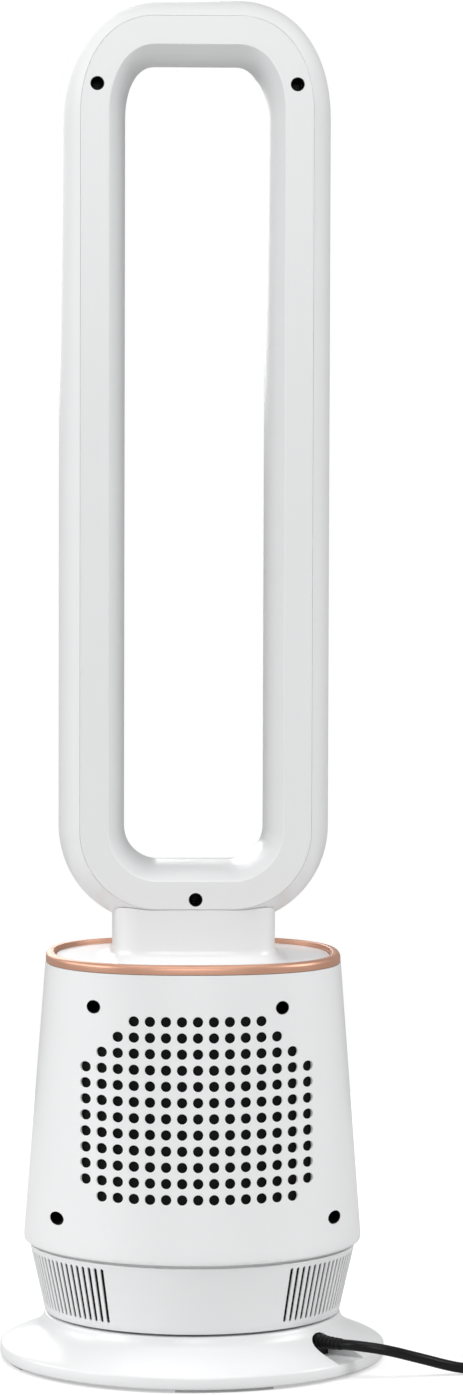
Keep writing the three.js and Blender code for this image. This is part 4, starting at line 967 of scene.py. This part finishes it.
def makeDeck():
    low, high = body["deck"] - deck["thickness"], body["deck"]
    rim, edge, seat = body["wall"] + 0.3, deck["edge"], high - deck["lip"]
    flare = [(deck["flare"] * (1 - math.sin(t)), high + deck["flareHeight"] * (1 - math.cos(t)))
             for t in (i / 8 * turn / 4 for i in range(9))]
    angles = [turn * i / deck["segments"] for i in range(deck["segments"])]
    r = deck["airHole"]
    hole = [[(r * math.cos(angle), r * math.sin(angle), z) for angle in angles] for z in (low, high)]
    rings = [
        deckRing(rim, low), deckRing(rim, seat), deckRing(edge, seat), deckRing(edge, high - 0.4),
        deckRing(edge + 0.4, high), deckRing(edge + 1.2, high), neckRing(deck["flare"] + 1, high),
        *[neckRing(grow, z) for grow, z in flare],
        neckRing(0, deck["neckTop"]), neckRing(-body["wall"], deck["neckTop"]),
        neckRing(-body["wall"], high), hole[1], hole[0],
    ]
    shape = lofted([*rings, rings[0]])
    loopBlank = loopShape([*loopOutside(0.3), (loop["throat"] - 0.3, -loop["nose"] - 0.3),
                           (loop["throat"] - 0.3, loop["halfDepth"] + 0.3)])
    shape = combined(shape, loopBlank, "DIFFERENCE")
    return finishPiece("topDeck", shape, "white_gloss", "housing", ["top_deck"])


def makeRearCover():
    t, deep, throat = loop["wall"], loop["halfDepth"], loop["throat"]
    flat, outer = loop["flatInner"], loop["flatOuter"]
    inside = [(flat - 0.6, deep - 1.6), (flat - 4.6, deep - 11), *smoothLine(
        [(flat - 5.6, deep - 13.6), (flat - 7.2, deep - 19), (flat - 8.9, deep - 26), (throat + 0.3, 7),
         (throat, -1)], 4)]
    profile = [
        (outer - 0.25, deep), (outer - 0.7, deep), (flat + 0.8, deep), (flat + 0.3, deep),
        (flat, deep - 0.25), *inside,
        (throat + 0.25, -2.7), (throat + 0.7, -3), (throat + t, -3),
        (flat - 6 + t, deep - 15), (flat + 1, deep - t), (outer, deep - t), (outer, deep - 0.25),
    ]
    cover = loopShape(profile)
    r, end = loop["wellRadius"], loop["wellEnd"]
    tubes = [barAlongY(r + loop["wellWall"], x, z, end, deep - 1) for x, z in loop["screws"]]
    bores = joined([barAlongY(r, x, z, end + loop["wellFloor"], deep + 5) for x, z in loop["screws"]])
    cover = combined(joined([cover, *tubes]), bores, "DIFFERENCE")
    return finishPiece("loopRearCover", cover, "white_gloss", "housing", ["loop_rear_cover"], sharp=28)


def makeFrontLoop():
    t, deep, wide = loop["wall"], loop["halfDepth"], loop["halfWidth"]
    slot = loop["throat"] + t + loop["slotWidth"]
    flat, outer = loop["flatInner"], loop["flatOuter"]
    outside = loopOutside(0)
    tip = -loop["nose"]
    nose = smoothLine([(wide - 19, tip), (flat + 5.6, tip + 1.2), (flat + 1, tip + 5), (flat - 1.2, -35),
                       (flat - 2.4, -28), (slot + 1.6, -12), (slot, 3)], 4)[1:]
    profile = [
        (outer + 0.07, deep - 0.5), (outer + 0.3, deep - 0.2), *outside[1:], *nose,
        (slot + t, 3), (flat - 2.4 + t, -29), (flat + 4, tip + 7), (flat + 12, tip + t),
        (wide - 8.2, -37.5), (wide - t, -24), (wide - t, 2), (outer + 2.6, 40.1), (outer - 1.4, 40.1),
        (outer - 1.4, 42.4), (outer + 0.07, 42.4),
    ]
    shell = loopShape(profile)
    shell = combined(shell, boxBetween(*loop["inlet"]), "DIFFERENCE")
    return finishPiece("loopFrontShell", shell, "white_gloss", "housing", ["loop_front_shell"], sharp=28)


makeTrimRing()
makeDeck()
makeRearCover()
makeFrontLoop()
print("deck and loop made")

# The screws sit at the bottom of their wells, which are lined with a black sleeve; the sleeve is painted
# shade for the dark depths of the wells.
screw = {
    "head": 3.6,
    "headHeight": 2.6,
    "shank": 1.8,
    "recess": 2.9,
    "recessWidth": 0.9,
    "seat": 2.5,  # from the well's end
    "sleeve": 0.35,
    "loopLength": 17,
    "bodyLength": 19,
}
# The screws' steel is coloured near black: painted shade for the bottoms of the deep wells.
screwSteelPaintedShade = newMaterial("screwSteelPaintedShade", (0.02, 0.02, 0.022), 0.5, spread=0.2, grain=900, bump=0.15,
                             Metallic=0.6)


def makeScrew(name, x, z, seat, long, node):
    r, thin, top = screw["head"], screw["shank"], seat + screw["headHeight"]
    shape = spun([(0, top), (r * 0.55, top), (r * 0.85, top - 0.35), (r, top - 1.1), (r, seat),
                  (thin, seat), (thin, seat - long + 2), (0, seat - long)], 32, closed=False)
    a, b = screw["recess"] / 2, screw["recessWidth"] / 2
    for x1, y1 in ((a, b), (b, a)):  # the two bars of the cross recess
        shape = combined(shape, boxBetween((-x1, -y1, top - 1.3), (x1, y1, top + 1)), "DIFFERENCE")
    moved(shape, Matrix.Translation((x, 0, z)) @ Matrix.Rotation(-turn / 4, 4, "X"))
    return finishPiece(name, shape, "steel", "housing", [node], material=screwSteelPaintedShade)


# A black sleeve inside a screw well: painted shade.
def makeShadeSleeve(name, x, z, radius, start, end, core=None):
    r = radius - 0.05
    tube = spun([(r - screw["sleeve"], start), (r, start), (r, end), (r - screw["sleeve"], end)], 40)
    moved(tube, Matrix.Translation((x, 0, z)) @ Matrix.Rotation(-turn / 4, 4, "X"))
    if core:
        tube = combined(tube, core, "INTERSECT")
    return finishPiece(name, tube, "black_plastic", "housing")


for i, (x, z) in enumerate(loop["screws"], 1):
    seat = loop["wellEnd"] + screw["seat"]
    makeScrew(f"loopScrew{i}", x, z, seat, screw["loopLength"], f"loop_screw_{i}")
    makeShadeSleeve(f"loopWellShadeSleeve{i}", x, z, loop["wellRadius"], seat - 0.1, loop["halfDepth"] - 0.9)
for i, (x, z) in enumerate(wells["places"], 1):
    seat = wells["end"] + screw["seat"]
    makeScrew(f"bodyScrew{i}", x, z, seat, screw["bodyLength"], f"body_screw_{i}")
    makeShadeSleeve(f"bodyWellShadeSleeve{i}", x, z, wells["radius"], seat - 0.1, wells["reach"], bodyCore(0.9))
print("screws made")

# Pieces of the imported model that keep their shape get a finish.
keptFinishes = {
    "black_plastic": ["base_plate", "thrust_ring"],
    "iron": ["ballast_weight", "motor_core", "motor_rotor"],
    "rubber_grey": ["foot_1", "foot_2", "foot_3", "foot_4", "isolator_ring"],
    "steel": ["base_screw_1", "base_screw_2", "base_screw_3", "base_screw_4", "hub_nut", "swing_motor",
              "motor_can", "motor_end_plate", "motor_shaft", "bearing_lower", "bearing_upper"],
    "grey_plastic": ["pivot_hub", "turntable", "chassis", "motor_bucket", "diffuser_duct", "guide_vanes"],
    "nylon": ["sun_gear", "pivot_bush", "impeller"],
    "brass": ["pinion", "plug_pin_1", "plug_pin_2", "impeller_nut"],
    "board_green": ["power_board", "control_board"],
}
for finish, names in keptFinishes.items():
    for name in names:
        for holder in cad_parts[name].material_slots:
            holder.material = finishes[finish]
print("kept pieces finished")

# A pale floor, a white background and six soft lamps.
studio = {
    "background": 1.0,
    "ambient": 0.32,
    "floorSize": 1.2,
    "floorColour": (0.62, 0.62, 0.62),
    "floorGlow": 0.48,  # lifts the floor to the white of the background, and lights nothing
    "lamps": {  # place, target, size, power in watts
        "keyLeft": ((2.9, 1.1, 1.7), (0, 0, 0.6), 1.5, 36),
        "rimRight": ((-2.6, 0.3, 1.7), (0, 0, 0.6), 1.4, 36),
        "rimLeft": ((2.3, -0.6, 1.4), (0, 0, 0.6), 1.2, 14),
        "fromCamera": ((0.1, 3.9, 1.8), (0, 0, 0.6), 1.8, 44),
        "above": ((0.1, 0.7, 4.5), (0, 0, 0.2), 3.5, 62),
        "fromFront": ((0.8, -3.6, 1.6), (0, 0, 0.4), 2, 34),
    },
}


def makeWorld():
    world = bpy.data.worlds.new("studio")
    scene.world = world
    world.use_nodes = True
    nodes, links = world.node_tree.nodes, world.node_tree.links
    seen = nodes["Background"]
    seen.inputs["Color"].default_value = (1, 1, 1, 1)
    seen.inputs["Strength"].default_value = studio["background"]
    light = nodes.new("ShaderNodeBackground")
    light.inputs["Color"].default_value = (1, 1, 1, 1)
    light.inputs["Strength"].default_value = studio["ambient"]
    path = nodes.new("ShaderNodeLightPath")
    mix = nodes.new("ShaderNodeMixShader")
    links.new(path.outputs["Is Camera Ray"], mix.inputs["Fac"])
    links.new(light.outputs["Background"], mix.inputs[1])
    links.new(seen.outputs["Background"], mix.inputs[2])
    links.new(mix.outputs["Shader"], nodes["World Output"].inputs["Surface"])


def makeLamps():
    for name, (place, target, size, power) in studio["lamps"].items():
        data = bpy.data.lights.new(name, "AREA")
        data.shape = "DISK"
        data.size = size
        data.energy = power
        lamp = bpy.data.objects.new(name, data)
        lamp.location = place
        lamp.rotation_euler = (Vector(target) - Vector(place)).to_track_quat("-Z", "Y").to_euler()
        scene.collection.objects.link(lamp)


def makeFloor():
    bm = bmesh.new()
    bmesh.ops.create_grid(bm, x_segments=8, y_segments=8, size=studio["floorSize"])
    mesh = bpy.data.meshes.new("floor")
    bm.to_mesh(mesh)
    bm.free()
    floor = bpy.data.objects.new("floor", mesh)
    scene.collection.objects.link(floor)
    pale = newMaterial("paleFloor", studio["floorColour"], 0.8, spread=0.01, grain=60, bump=0.02)
    nodes, links = pale.node_tree.nodes, pale.node_tree.links
    shader = nodes["Principled BSDF"]
    path = nodes.new("ShaderNodeLightPath")
    glow = nodes.new("ShaderNodeMapRange")
    glow.inputs["To Max"].default_value = studio["floorGlow"]
    links.new(path.outputs["Is Camera Ray"], glow.inputs["Value"])
    links.new(glow.outputs["Result"], shader.inputs["Emission Strength"])
    shader.inputs["Emission Color"].default_value = (1, 1, 1, 1)
    mesh.materials.append(pale)


makeWorld()
makeLamps()
makeFloor()
scene.view_settings.view_transform = "Standard"
print("studio lit")
